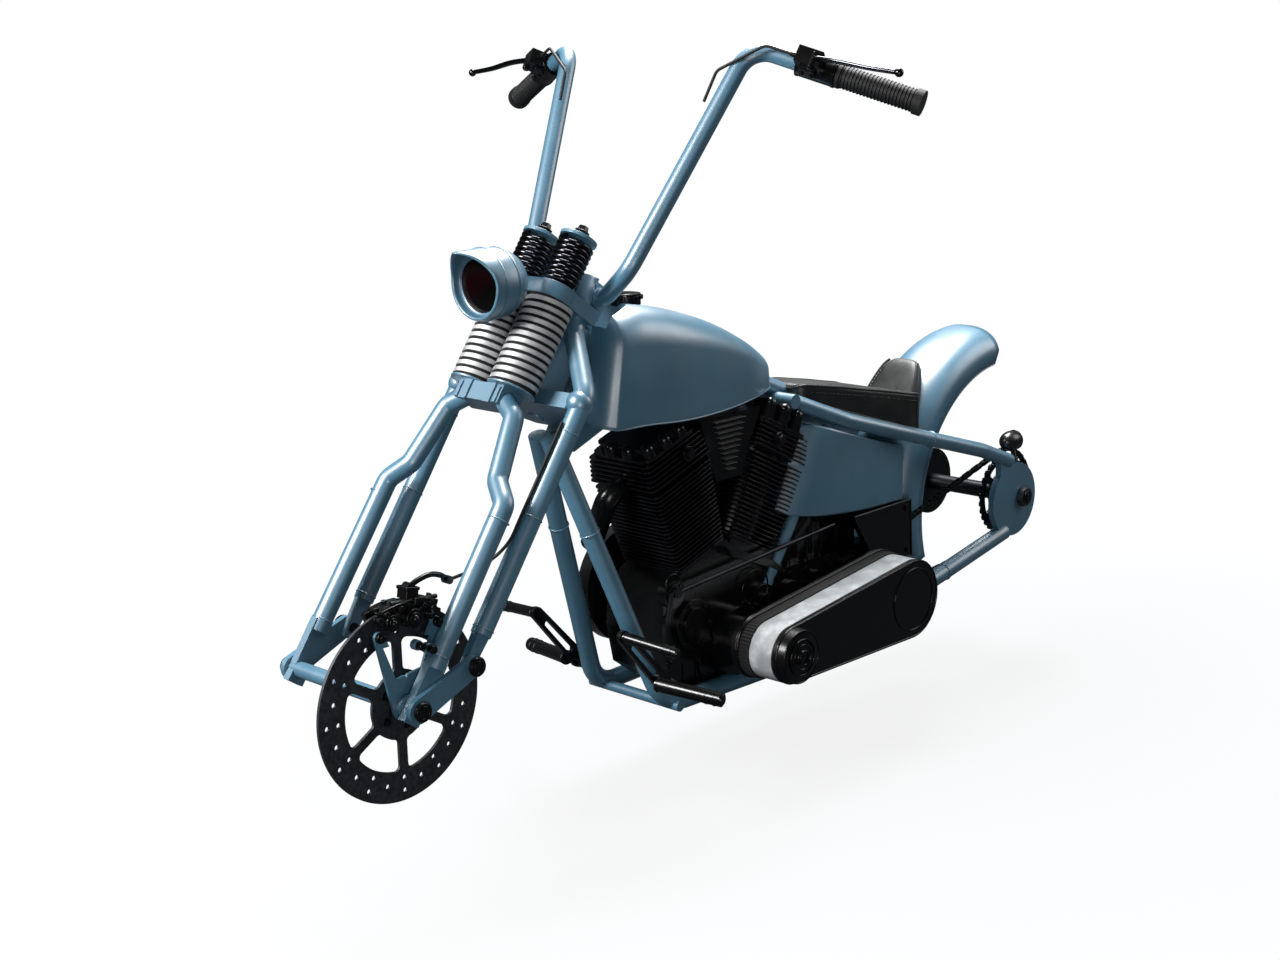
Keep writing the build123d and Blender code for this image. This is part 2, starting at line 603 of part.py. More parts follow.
# Springs, the rods through them and the caps on top
SPRING_Y = 42.0
SPRING_R = 39.5
SPRING_LOW = 502.3
TREE_LOW = 656.0
LOWER_COILS = 12
COIL_GAP = 3.5
coil_pitch = (TREE_LOW - SEAT_GAP - SPRING_LOW + COIL_GAP) / LOWER_COILS
lower_springs = Part()
upper_springs = Part()
spring_rods = Part()
for spring_y in (-SPRING_Y, SPRING_Y):
    spring_foot = fork(SPRING_LOW, SPRING_OFFSET, spring_y)
    spring_seat = fork(TREE_LOW - SEAT_GAP, SPRING_OFFSET, spring_y)
    lower_springs += rod(spring_foot, spring_seat, SPRING_R - 8)
    for step in range(LOWER_COILS):
        coil_low = SPRING_LOW + coil_pitch * step
        lower_springs += rod(
            fork(coil_low, SPRING_OFFSET, spring_y),
            fork(coil_low + coil_pitch - COIL_GAP, SPRING_OFFSET, spring_y),
            SPRING_R,
        )
    lower_springs -= rod(spring_foot, spring_seat, 24)
    upper_springs += rod(fork(680.3, SPRING_OFFSET, spring_y), fork(764.7, SPRING_OFFSET, spring_y), 30)
    upper_springs -= rod(fork(680, SPRING_OFFSET, spring_y), fork(770, SPRING_OFFSET, spring_y), 18)
    spring_rods += rod(fork(502.3, SPRING_OFFSET, spring_y), fork(790, SPRING_OFFSET, spring_y), 9)
    spring_rods += rod(fork(765, SPRING_OFFSET, spring_y), fork(772, SPRING_OFFSET, spring_y), 31)
    spring_rods += rod(fork(771, SPRING_OFFSET, spring_y), fork(784, SPRING_OFFSET, spring_y), 13)
    stem -= rod(fork(640, SPRING_OFFSET, spring_y), fork(690, SPRING_OFFSET, spring_y), 9 + SEAT_GAP)
clear_spring = Part()
for spring_y in (-SPRING_Y, SPRING_Y):
    spring_foot = fork(SPRING_LOW - SEAT_GAP, SPRING_OFFSET, spring_y)
    spring_seat = fork(TREE_LOW, SPRING_OFFSET, spring_y)
    clear_spring += rod(spring_foot, spring_seat, SPRING_R + SEAT_GAP)
rigid_legs -= clear_spring

# Rockers, their caps and the front axle
rocker = stadium(0, 0, 19, REAR_PIVOT_X, REAR_PIVOT_Z, 16, 145 + SEAT_GAP, 155)
rocker -= drum(0, 0, 140, 170, AXLE_R + SEAT_GAP)
rocker -= drum(REAR_PIVOT_X, REAR_PIVOT_Z, 140, 170, 8 + SEAT_GAP)
rockers = both_sides(rocker)
front_axle = drum(0, 0, -156, 156, AXLE_R)
cap_pair = drum(0, 0, 156 + SEAT_GAP, CAP_OUTER_Y, 13.5)
cap_pair += drum(REAR_PIVOT_X, REAR_PIVOT_Z, 156 + SEAT_GAP, CAP_OUTER_Y, 13.5)
cap_pair += drum(REAR_PIVOT_X, REAR_PIVOT_Z, 128, 157, 8)
pivot_caps = both_sides(cap_pair)

# Front disc on the axle
DISC_Y = 108.0
DISC_R = 146.0
DISC_INNER_R = 100.0
DISC_HUB_R = 46.0
DISC_BOLT_R = 33.0
DISC_HALF = 2.5
SPOKE_WIDTH = 15.0
WINDOW_ROUND = 8.0
VENT_R = 4.0
VENT_INNER_R = 111.0
VENT_MIDDLE_R = 121.0
VENT_OUTER_R = 131.0
DISC_FACE = Plane(origin=(0, DISC_Y + DISC_HALF, 0), x_dir=(1, 0, 0), z_dir=(0, -1, 0))
disc = drum(0, 0, DISC_Y - DISC_HALF, DISC_Y + DISC_HALF, DISC_R)
disc_windows = spoked(DISC_INNER_R, DISC_HUB_R + 6, 6, 30, SPOKE_WIDTH, WINDOW_ROUND)
disc -= extrude(DISC_FACE * disc_windows, amount=2 * DISC_HALF)
vents = Sketch()
for step in range(12):
    vents += [
        Rot(0, 0, 30 * step) * Pos(VENT_INNER_R, 0) * Circle(VENT_R),
        Rot(0, 0, 30 * step) * Pos(VENT_OUTER_R, 0) * Circle(VENT_R),
        Rot(0, 0, 30 * step + 15) * Pos(VENT_MIDDLE_R, 0) * Circle(VENT_R),
    ]
disc -= extrude(DISC_FACE * vents, amount=2 * DISC_HALF)
disc += drum(0, 0, DISC_Y - 14, DISC_Y, 24)
for step in range(5):
    turn = math.radians(72 * step - 35)
    disc -= drum(DISC_BOLT_R * math.cos(turn), DISC_BOLT_R * math.sin(turn), DISC_Y - 4, DISC_Y + 4, 4.2)
disc -= drum(0, 0, DISC_Y - 30, DISC_Y + 30, AXLE_R + RUN_GAP)

# Brake caliper and its bracket
ARM_IN_Y = DISC_Y + 2.5 + MOVE_GAP
ARM_OUT_Y = ARM_IN_Y + 5
CALIPER_TOP = 157.0
CALIPER_HEIGHT = 42.0
caliper = Pos(-7, 112, CALIPER_TOP - CALIPER_HEIGHT / 2) * Box(98, 38, CALIPER_HEIGHT)
caliper -= Pos(-7, (ARM_OUT_Y + SEAT_GAP + 99) / 2, 130) * Box(140, ARM_OUT_Y + SEAT_GAP - 99, 44.6)
arms = stadium(0, 0, 22, 40, 113, 8, ARM_IN_Y, ARM_OUT_Y)
arms += stadium(0, 0, 22, -65, 112, 8, ARM_IN_Y, ARM_OUT_Y)
arms -= drum(0, 0, 100, 140, AXLE_R + SEAT_GAP)
arms -= plate([(14, 44), (34, 96), (-54, 96), (-34, 50)], 100, 140)
arms += drum(0, 0, ARM_OUT_Y, 131 - SEAT_GAP, 19)
arms -= drum(0, 0, 100, 140, AXLE_R + SEAT_GAP)

# Brake hose
hose = pipe([
    (-30, 114, CALIPER_TOP + SEAT_GAP),
    (-30, 114, 178),
    (-88, 114, 196),
    fork(236, -36, 112),
    fork(278, -43, 137),
    fork(480, -43, 137),
], 2.5, [8, 16, 16, 16])

# Headlight shell with its visor, and the lens
LAMP_X = -305.0
LAMP_Z = 565.0
LAMP_R = 55.0
LAMP_FRONT_X = -276.0
shell = Pos(LAMP_X, 0, LAMP_Z) * Sphere(LAMP_R)
shell -= Pos(LAMP_X + 100, 0, LAMP_Z) * Box(200, 200, 200)
shell += rod((LAMP_X - 0.01, 0, LAMP_Z), (LAMP_FRONT_X, 0, LAMP_Z), LAMP_R)
visor = rod((LAMP_FRONT_X, 0, LAMP_Z), (-256, 0, LAMP_Z), LAMP_R)
visor -= rod((LAMP_FRONT_X, 0, LAMP_Z), (-250, 0, LAMP_Z), LAMP_R - 4)
VISOR_CUT = [
    (LAMP_FRONT_X, LAMP_Z + 4), (-240, LAMP_Z + 50), (-240, LAMP_Z - 80), (LAMP_FRONT_X, LAMP_Z - 80),
]
visor -= plate(VISOR_CUT, -80, 80)
shell += visor
lamp_arm = rod(fork(668, 20, 0), (LAMP_X, 0, LAMP_Z), 10)
lamp_arm -= Pos(LAMP_X, 0, LAMP_Z) * Sphere(LAMP_R + SEAT_GAP)
stem += lamp_arm
shell -= rod((LAMP_FRONT_X - 14, 0, LAMP_Z), (LAMP_FRONT_X + 1, 0, LAMP_Z), LAMP_R - 7)
shell -= fork_slab(650, 690, [(-80, -90), (-80, 90), (28 + SEAT_GAP, 90), (28 + SEAT_GAP, -90)])
shell -= clear_spring
lens = rod((LAMP_FRONT_X - 14 + SEAT_GAP, 0, LAMP_Z), (LAMP_FRONT_X - 4, 0, LAMP_Z), LAMP_R - 7 - SEAT_GAP)

# Handlebar with grips, controls and cables
BAR_R = 14.0
BAR_END = (-787.0, 444.0, 815.5)
BAR_CORNER = (-684.0, 199.5, 903.0)
BAR_BEND = (-490.0, 112.0, 570.0)
BAR_BASE = (fork(716, -100, 0)[0], 52.0, fork(716, -100, 0)[2])
bar_left = [BAR_END, BAR_CORNER, BAR_BEND, BAR_BASE]
handlebar = pipe(bar_left + mirrored(bar_left)[::-1], BAR_R, [45, 50, 30, 30, 50, 45])
stem -= rod((BAR_BASE[0], -60, BAR_BASE[2]), (BAR_BASE[0], 60, BAR_BASE[2]), BAR_R + SEAT_GAP)
grip_run = Vector(*BAR_END) - Vector(*BAR_CORNER)
GRIP_PLACE = Plane(origin=BAR_CORNER, x_dir=(0.785, 0.474, 0.397), z_dir=grip_run)
BAR_LENGTH = grip_run.length


def on_grip(low, high, radius):
    """A round piece along the bar's end, its distances counted from the bar's corner."""
    return GRIP_PLACE * Pos(0, 0, (low + high) / 2) * Cylinder(radius, high - low)


grip = on_grip(146, BAR_LENGTH + 6, 17) + on_grip(BAR_LENGTH - 6, BAR_LENGTH + 6, 20)
grip -= on_grip(100, BAR_LENGTH + SEAT_GAP, BAR_R + SEAT_GAP)
grips = both_sides(grip)
housing = on_grip(82, 145.7, 20)
housing += GRIP_PLACE * Pos(26, 0, 104) * Box(36, 26, 40)
housing -= on_grip(0, 200, BAR_R + SEAT_GAP)
housings = both_sides(housing)
lever_start = GRIP_PLACE * Pos(44.3, 0, 112)
lever_tip = GRIP_PLACE * Pos(100, 0, 256)
lever = rod(tuple(lever_start.position), tuple(lever_tip.position), 5)
lever += Pos(*lever_tip.position) * Sphere(7)
lever -= GRIP_PLACE * Pos(26, 0, 104) * Box(36 + 2 * SEAT_GAP, 30, 60)
levers = both_sides(lever)
cable_points = [
    tuple((GRIP_PLACE * Pos(28, 0, 83.7)).position),
    tuple((GRIP_PLACE * Pos(28, 0, 30)).position),
    (-640, 168, 868),
    (-618, 160, 822),
]
cables = both_sides(pipe(cable_points, 2.5, [20, 15]))

PIECES = {
    "steering_head": head,
    "lower_tubes": lower,
    "upper_rails": upper,
    "axle_plates": axle_plates,
    "seat_posts": posts,
    "cross_tubes": crosses,
    "tank": tank,
    "tank_cap": cap,
    "seat": seat,
    "backrest": backrest,
    "rear_fender": fender,
    "oil_tank": oil_tank,
    "crankcase": crankcase,
    "barrels": barrels,
    "cylinder_heads": heads,
    "intake": intake,
    "exhaust_elbow": elbow,
    "right_cover": right_cover,
    "gearbox": gearbox,
    "gearbox_guard": guard,
    "primary_plate": primary_plate,
    "primary_pulleys": pulleys,
    "primary_belt": belt,
    "primary_cover": primary_cover,
    "drive_chain": chain,
    "rear_axle": rear_axle,
    "rear_hub": hub,
    "rear_sprocket": sprocket,
    "rear_disc": rear_disc,
    "tail_lamp": lamp,
    "lamp_stay": lamp_stay,
    "foot_brackets": foot_brackets,
    "foot_pegs": foot_pegs,
    "shift_rod": shift_rod,
    "rigid_legs": rigid_legs,
    "fork_stem": stem,
    "spring_legs": spring_legs,
    "lower_springs": lower_springs,
    "upper_springs": upper_springs,
    "spring_rods": spring_rods,
    "rockers": rockers,
    "pivot_caps": pivot_caps,
    "front_axle": front_axle,
    "front_disc": disc,
    "brake_caliper": caliper,
    "caliper_bracket": arms,
    "brake_hose": hose,
    "headlight_shell": shell,
    "headlight_lens": lens,
    "handlebar": handlebar,
    "grips": grips,
    "control_housings": housings,
    "brake_levers": levers,
    "control_cables": cables,
}
for name, shape in PIECES.items():
    save(shape, name)
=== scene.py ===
import json
import math

import bmesh
import bpy
from bpy.props import FloatProperty, FloatVectorProperty, IntProperty, PointerProperty
from bpy.types import Operator, Panel, PropertyGroup
from mathutils import Matrix, Vector


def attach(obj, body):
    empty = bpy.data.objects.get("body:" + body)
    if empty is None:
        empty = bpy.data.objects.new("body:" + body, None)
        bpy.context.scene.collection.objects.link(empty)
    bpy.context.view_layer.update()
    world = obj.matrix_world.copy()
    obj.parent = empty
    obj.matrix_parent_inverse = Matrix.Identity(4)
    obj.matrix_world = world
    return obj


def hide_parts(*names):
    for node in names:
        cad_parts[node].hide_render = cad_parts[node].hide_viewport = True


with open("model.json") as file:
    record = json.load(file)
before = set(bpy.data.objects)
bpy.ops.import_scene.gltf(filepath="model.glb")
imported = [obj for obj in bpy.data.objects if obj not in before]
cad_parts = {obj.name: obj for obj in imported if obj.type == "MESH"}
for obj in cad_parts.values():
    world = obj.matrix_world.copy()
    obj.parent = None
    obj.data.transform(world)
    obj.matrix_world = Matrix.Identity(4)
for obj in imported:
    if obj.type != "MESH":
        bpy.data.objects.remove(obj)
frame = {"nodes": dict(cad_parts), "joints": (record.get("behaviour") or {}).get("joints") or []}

bl_info = {
    "name": "Bobber Motorcycle",
    "version": (1, 0, 0),
    "blender": (4, 5, 0),
    "location": "3D View > Sidebar > Bobber",
    "description": "Dresses a rigid-frame bobber: finned engine, springs, chain, seat, paint and studio",
    "category": "Object",
}

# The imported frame: the front axle's centre and the fork's own directions
JOINTS = {joint["name"]: joint for joint in frame["joints"]}
DISC_CENTRE = Vector(JOINTS["front_disc_spin"]["pos_m"])
FRONT_AXLE = Vector((DISC_CENTRE.x, 0.0, DISC_CENTRE.z))
REAR_AXLE = Vector(JOINTS["rear_hub_spin"]["pos_m"])
FORK_UP = Vector(JOINTS["steering"]["axis"]).normalized()
FORK_FORWARD = Vector((FORK_UP.z, 0.0, -FORK_UP.x))
ACROSS = Vector((0.0, 1.0, 0.0))
FORWARDS = Vector((1.0, 0.0, 0.0))
UPWARDS = Vector((0.0, 0.0, 1.0))
SIDES = (-1, 1)
MM = 0.001


def at(x, y, z):
    """A point given in millimetres from the front axle's centre."""
    return FRONT_AXLE + Vector((x, y, z)) * MM


def fork_at(s, o, y):
    """A point s millimetres up the fork, o forward of its plane and y to the left."""
    return FRONT_AXLE + (FORK_UP * s + FORK_FORWARD * o + ACROSS * y) * MM


def bolt_circle(x, z, radius, count, first_deg):
    """Places, each an x and a z, at even steps round a circle."""
    turns = [math.radians(360 / count * step + first_deg) for step in range(count)]
    return [(x + radius * math.cos(turn), z + radius * math.sin(turn)) for turn in turns]


# Mesh helpers

BEND_STEPS = 12
WASHER_SHARE = 1.25
WASHER_HEIGHT_SHARE = 0.25
MERGE_M = 1e-6
BEVEL_SEGMENTS = 2
BEVEL_ANGLE_DEG = 35


def look_along(direction, side=ACROSS):
    """A rotation whose Z is the direction and whose X is as near the side as it can be."""
    z = direction.normalized()
    if abs(z.dot(side)) > 0.999:
        side = FORWARDS
    x = (side - z * side.dot(z)).normalized()
    return Matrix((x, z.cross(x), z)).transposed().to_4x4()


def add_drum(bm, start, end, radius, segments=32, end_radius=None):
    """A round piece from start to end, tapered if the end has its own radius."""
    direction = end - start
    bmesh.ops.create_cone(
        bm, cap_ends=True, segments=segments, radius1=radius,
        radius2=radius if end_radius is None else end_radius, depth=direction.length,
        matrix=Matrix.Translation((start + end) / 2) @ look_along(direction),
    )


def add_block(bm, centre, size, turn=None):
    """A box of the given size in metres, turned by a rotation matrix."""
    place = Matrix.Translation(centre) @ (turn or Matrix.Identity(4)) @ Matrix.Diagonal((*size, 1.0))
    return bmesh.ops.create_cube(bm, size=1.0, matrix=place)["verts"]


def add_ball(bm, centre, radius, segments):
    """A ball."""
    return bmesh.ops.create_uvsphere(
        bm, u_segments=segments, v_segments=segments // 2, radius=radius, matrix=Matrix.Translation(centre)
    )["verts"]


def edges_of(verts):
    """The edges at the vertices, each once."""
    return list({edge for vert in verts for edge in vert.link_edges})


def bridge_and_cap(bm, loops):
    """Joins each loop of edges to the next and closes both ends."""
    for low, high in zip(loops, loops[1:]):
        bmesh.ops.bridge_loops(bm, edges=low + high)
    for end in (loops[0], loops[-1]):
        bmesh.ops.holes_fill(bm, edges=end, sides=0)


def add_ring(bm, centre, direction, radius, wire, segments, sides):
    """A round ring of wire about a direction."""
    out = (look_along(direction) @ FORWARDS).normalized()
    axis = direction.normalized()
    circle = bmesh.ops.create_circle(
        bm, cap_ends=False, segments=sides, radius=wire,
        matrix=Matrix.Translation(centre + out * radius) @ look_along(axis.cross(out), out),
    )["verts"]
    bmesh.ops.spin(
        bm, geom=circle + edges_of(circle), cent=centre, axis=axis, angle=math.tau, steps=segments,
        use_merge=True, use_duplicate=False,
    )


def add_slab(bm, outline, thickness):
    """A plate from an outline of points, as thick as the vector says."""
    face = bm.faces.new([bm.verts.new(point) for point in outline])
    grown = bmesh.ops.extrude_face_region(bm, geom=[face])["geom"]
    tops = [item for item in grown if isinstance(item, bmesh.types.BMVert)]
    bmesh.ops.translate(bm, vec=thickness, verts=tops)


def add_path(bm, points, radius, sides, cyclic=False):
    """A round wire along points, made with a curve's bevel."""
    curve = bpy.data.curves.new("wire", "CURVE")
    curve.dimensions = "3D"
    spline = curve.splines.new("POLY")
    spline.points.add(len(points) - 1)
    for place, point in zip(spline.points, points):
        place.co = (*point, 1.0)
    spline.use_cyclic_u = cyclic
    curve.bevel_depth = radius
    curve.bevel_resolution = sides
    curve.use_fill_caps = True
    holder = bpy.data.objects.new("wire", curve)
    mesh = bpy.data.meshes.new_from_object(holder)
    bm.from_mesh(mesh)
    bpy.data.objects.remove(holder)
    bpy.data.curves.remove(curve)
    bpy.data.meshes.remove(mesh)


def smooth_line(points, steps):
    """Points on a smooth curve through the given ones."""
    line = []
    last = len(points) - 1
    for index in range(last):
        before = points[max(index - 1, 0)]
        start = points[index]
        end = points[index + 1]
        after = points[min(index + 2, last)]
        for step in range(steps):
            t = step / steps
            line.append(
                0.5 * (
                    2 * start + (end - before) * t + (2 * before - 5 * start + 4 * end - after) * t * t
                    + (3 * start - before - 3 * end + after) * t * t * t
                )
            )
    line.append(points[last])
    return line


def bent_line(points, bends):
    """A line along the points with each corner rounded to its own radius."""
    line = [points[0]]
    for before, corner, after, radius in zip(points, points[1:], points[2:], bends):
        back = (before - corner).normalized()
        ahead = (after - corner).normalized()
        half = back.angle(ahead) / 2
        reach = radius / math.tan(half)
        start = corner + back * reach
        middle = corner + (back + ahead).normalized() * radius / math.sin(half)
        swing = math.pi - 2 * half
        axis = back.cross(ahead).normalized()
        for step in range(BEND_STEPS + 1):
            turn = Matrix.Rotation(-swing * step / BEND_STEPS, 3, axis)
            line.append(middle + turn @ (start - middle))
    line.append(points[-1])
    return line


def add_hex_bolt(bm, centre, direction, radius, height):
    """A six-sided bolt head on a round washer."""
    step = direction.normalized()
    seat = centre + step * height * WASHER_HEIGHT_SHARE
    add_drum(bm, centre, seat, radius * WASHER_SHARE, 24)
    add_drum(bm, seat, centre + step * height, radius, 6)


def mirror_all(bm):
    """Adds the other side of everything in the mesh, across the centre plane."""
    geom = bm.verts[:] + bm.edges[:] + bm.faces[:]
    bmesh.ops.mirror(bm, geom=geom, matrix=Matrix.Identity(4), merge_dist=-1.0, axis="Y")


def link_object(name, data):
    """A new object in the scene for a mesh, a light or a camera."""
    holder = bpy.data.objects.new(name, data)
    bpy.context.scene.collection.objects.link(holder)
    return holder


def finish_piece(bm, name, body, look, hides=(), bevel=0.0, angle=40.0, subdivide=0):
    """Turns the mesh into a piece that rides on its body."""
    bmesh.ops.remove_doubles(bm, verts=bm.verts, dist=MERGE_M)
    bmesh.ops.recalc_face_normals(bm, faces=bm.faces)
    mesh = bpy.data.meshes.new(name)
    bm.to_mesh(mesh)
    bm.free()
    mesh.materials.append(finish(look))
    mesh.shade_smooth()
    mesh.set_sharp_from_angle(angle=math.radians(angle))
    piece = link_object(name, mesh)
    if bevel:
        rounding = piece.modifiers.new("Rounded edges", "BEVEL")
        rounding.width = bevel
        rounding.segments = BEVEL_SEGMENTS
        rounding.limit_method = "ANGLE"
        rounding.angle_limit = math.radians(BEVEL_ANGLE_DEG)
        rounding.harden_normals = True
    if subdivide:
        finer = piece.modifiers.new("Smooth", "SUBSURF")
        finer.levels = subdivide
        finer.render_levels = subdivide
    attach(piece, body)
    if hides:
        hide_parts(*hides)
    return piece


# Material helpers

COAT_ROUGHNESS = 0.36
COAT_IOR = 1.7
BRUSH_STRETCH = (1.0, 14.0, 1.0)
CREASE_STRETCH = (1.0, 2.2, 1.0)


def new_shader(name, roughness, metallic=0.0, coat=0.0, coat_roughness=0.05, specular=0.5):
    """A material with its constants set, ready for its patterns."""
    material = bpy.data.materials.new(name)
    material.use_nodes = True
    shader = material.node_tree.nodes["Principled BSDF"]
    shader.inputs["Roughness"].default_value = roughness
    shader.inputs["Metallic"].default_value = metallic
    shader.inputs["Coat Weight"].default_value = coat
    shader.inputs["Coat Roughness"].default_value = coat_roughness
    shader.inputs["Specular IOR Level"].default_value = specular
    return material, shader


def add_noise(material, scale, detail, roughness=0.55, stretch=(1.0, 1.0, 1.0)):
    """A cloudy pattern fixed to the piece."""
    nodes = material.node_tree.nodes
    links = material.node_tree.links
    coords = nodes.new("ShaderNodeTexCoord")
    mapping = nodes.new("ShaderNodeMapping")
    mapping.inputs["Scale"].default_value = stretch
    noise = nodes.new("ShaderNodeTexNoise")
    noise.inputs["Scale"].default_value = scale
    noise.inputs["Detail"].default_value = detail
    noise.inputs["Roughness"].default_value = roughness
    links.new(coords.outputs["Object"], mapping.inputs["Vector"])
    links.new(mapping.outputs["Vector"], noise.inputs["Vector"])
    return noise.outputs["Fac"]


def add_cells(material, scale):
    """A pattern of small cells fixed to the piece."""
    nodes = material.node_tree.nodes
    coords = nodes.new("ShaderNodeTexCoord")
    cells = nodes.new("ShaderNodeTexVoronoi")
    cells.inputs["Scale"].default_value = scale
    material.node_tree.links.new(coords.outputs["Object"], cells.inputs["Vector"])
    return cells.outputs["Distance"]


def add_ramp(material, source, stops):
    """A ramp from a pattern to colours or levels."""
    ramp = material.node_tree.nodes.new("ShaderNodeValToRGB")
    elements = ramp.color_ramp.elements
    while len(elements) < len(stops):
        elements.new(0.5)
    for element, (position, colour) in zip(elements, stops):
        element.position = position
        element.color = (*colour, 1.0)
    material.node_tree.links.new(source, ramp.inputs["Fac"])
    return ramp.outputs["Color"]


def add_bump(material, shader, source, strength, distance):
    """Fine relief from a pattern, on top of any relief that is there."""
    links = material.node_tree.links
    bump = material.node_tree.nodes.new("ShaderNodeBump")
    bump.inputs["Strength"].default_value = strength
    bump.inputs["Distance"].default_value = distance
    links.new(source, bump.inputs["Height"])
    socket = shader.inputs["Normal"]
    if socket.is_linked:
        links.new(socket.links[0].from_socket, bump.inputs["Normal"])
    links.new(bump.outputs["Normal"], socket)


def level(value):
    """A grey of one level, for a ramp."""
    return (value, value, value)


def tint(colour, factor):
    """A colour made lighter or darker."""
    return tuple(min(1.0, channel * factor) for channel in colour)


def painted(name, colour, roughness, coat, specular):
    """Sprayed paint with slow clouding, fine dust and a soft clear coat."""
    material, shader = new_shader(
        name, roughness, coat=coat, coat_roughness=COAT_ROUGHNESS, specular=specular
    )
    shader.inputs["Coat IOR"].default_value = COAT_IOR
    links = material.node_tree.links
    clouds = add_noise(material, 7.0, 3.0, 0.5)
    base = add_ramp(material, clouds, [(0.3, tint(colour, 0.86)), (0.55, colour), (0.75, tint(colour, 1.1))])
    links.new(base, shader.inputs["Base Color"])
    dust = add_noise(material, 16.0, 2.0, 0.5)
    matt = add_ramp(material, dust, [(0.35, level(roughness * 0.85)), (0.7, level(roughness * 1.2))])
    links.new(matt, shader.inputs["Roughness"])
    return material


def cast_metal(name, colour, roughness, grain):
    """A coated casting with fine grain and oil marks."""
    material, shader = new_shader(name, roughness, metallic=0.1, specular=0.4)
    links = material.node_tree.links
    marks = add_noise(material, 18.0, 3.0, 0.55)
    base = add_ramp(material, marks, [(0.3, tint(colour, 0.7)), (0.6, colour), (0.8, tint(colour, 1.8))])
    links.new(base, shader.inputs["Base Color"])
    links.new(
        add_ramp(material, marks, [(0.3, level(roughness * 0.7)), (0.75, level(roughness * 1.35))]),
        shader.inputs["Roughness"],
    )
    add_bump(material, shader, add_noise(material, 350.0, 2.0), grain, 0.0003)
    return material


def bare_steel(name, colour, roughness):
    """Bare or blackened metal with brushed lines and small stains."""
    material, shader = new_shader(name, roughness, metallic=1.0)
    links = material.node_tree.links
    stains = add_noise(material, 24.0, 3.0, 0.5)
    base = add_ramp(material, stains, [(0.32, tint(colour, 0.82)), (0.6, colour)])
    links.new(base, shader.inputs["Base Color"])
    lines = add_noise(material, 160.0, 4.0, 0.6, BRUSH_STRETCH)
    links.new(
        add_ramp(material, lines, [(0.3, level(roughness * 0.7)), (0.7, level(roughness * 1.5))]),
        shader.inputs["Roughness"],
    )
    add_bump(material, shader, lines, 0.06, 0.0002)
    return material


def leather(name, colour):
    """Black leather with pebbled grain, creases and rubbed high spots."""
    material, shader = new_shader(name, 0.42, specular=0.5)
    links = material.node_tree.links
    rubbed = add_noise(material, 14.0, 6.0, 0.6)
    base = add_ramp(material, rubbed, [(0.35, tint(colour, 0.7)), (0.6, colour), (0.8, tint(colour, 1.7))])
    links.new(base, shader.inputs["Base Color"])
    shine = add_ramp(material, rubbed, [(0.3, level(0.34)), (0.7, level(0.52))])
    links.new(shine, shader.inputs["Roughness"])
    add_bump(material, shader, add_cells(material, 420.0), 0.35, 0.0005)
    add_bump(material, shader, add_noise(material, 38.0, 3.0, 0.5, CREASE_STRETCH), 0.25, 0.002)
    return material


def rubber(name, colour, roughness=0.62):
    """Matt rubber with a dusty bloom."""
    material, shader = new_shader(name, roughness, specular=0.35)
    links = material.node_tree.links
    bloom = add_noise(material, 30.0, 4.0, 0.6)
    base = add_ramp(material, bloom, [(0.35, tint(colour, 0.75)), (0.55, colour), (0.75, tint(colour, 1.6))])
    links.new(base, shader.inputs["Base Color"])
    add_bump(material, shader, add_noise(material, 300.0, 2.0), 0.06, 0.0002)
    return material


def lamp_glass(name, colour):
    """Dark glass, nearly closed, with red patches painted in as glints."""
    material, shader = new_shader(name, 0.14, coat=0.05, coat_roughness=0.1, specular=0.15)
    links = material.node_tree.links
    depth = add_noise(material, 18.0, 3.0, 0.6)
    # Red patches painted into the base colour stand in for glints on the lens.
    base = add_ramp(material, depth, [(0.5, level(0.0012)), (0.66, colour)])
    links.new(base, shader.inputs["Base Color"])
    return material


FINISHES = {
    "blue paint": lambda name: painted(name, tuple(sizes().paint), 0.46, 1.0, 0.75),
    "black paint": lambda name: painted(name, (0.002, 0.002, 0.0023), 0.24, 0.06, 0.3),
    "engine black": lambda name: cast_metal(name, (0.0035, 0.0037, 0.004), 0.24, 0.05),
    "fin black": lambda name: cast_metal(name, (0.005, 0.005, 0.006), 0.2, 0.04),
    "spring steel": lambda name: bare_steel(name, (0.5, 0.505, 0.51), 0.6),
    "black steel": lambda name: bare_steel(name, (0.045, 0.045, 0.05), 0.16),
    "disc steel": lambda name: bare_steel(name, (0.075, 0.083, 0.09), 0.5),
    "dark steel": lambda name: bare_steel(name, (0.03, 0.031, 0.034), 0.34),
    "seat leather": lambda name: leather(name, (0.012, 0.0125, 0.013)),
    "seat thread": lambda name: rubber(name, (0.05, 0.05, 0.052), 0.5),
    "grip rubber": lambda name: rubber(name, (0.005, 0.005, 0.0055)),
    # Painted shade: near-black for the cores that darken the gaps between spring turns.
    "painted gap shade": lambda name: rubber(name, (0.002, 0.002, 0.0022), 0.8),
    # The belt's light grey is painted light: it stands in for the lit top band of the primary drive.
    "belt painted lit grey": lambda name: rubber(name, (0.27, 0.285, 0.295), 0.42),
    # This red is the colour of the painted glints on the lens.
    "lamp glass": lambda name: lamp_glass(name, (0.0045, 0.0006, 0.001)),
    "lamp black": lambda name: painted(name, (0.006, 0.006, 0.0065), 0.3, 0.2, 0.4),
}


def finish(name):
    """The material of one finish, made when it is first asked for."""
    return bpy.data.materials.get(name) or FINISHES[name](name)


def sizes():
    """The sizes and colours set in the scene."""
    return bpy.context.scene.bobber_sizes


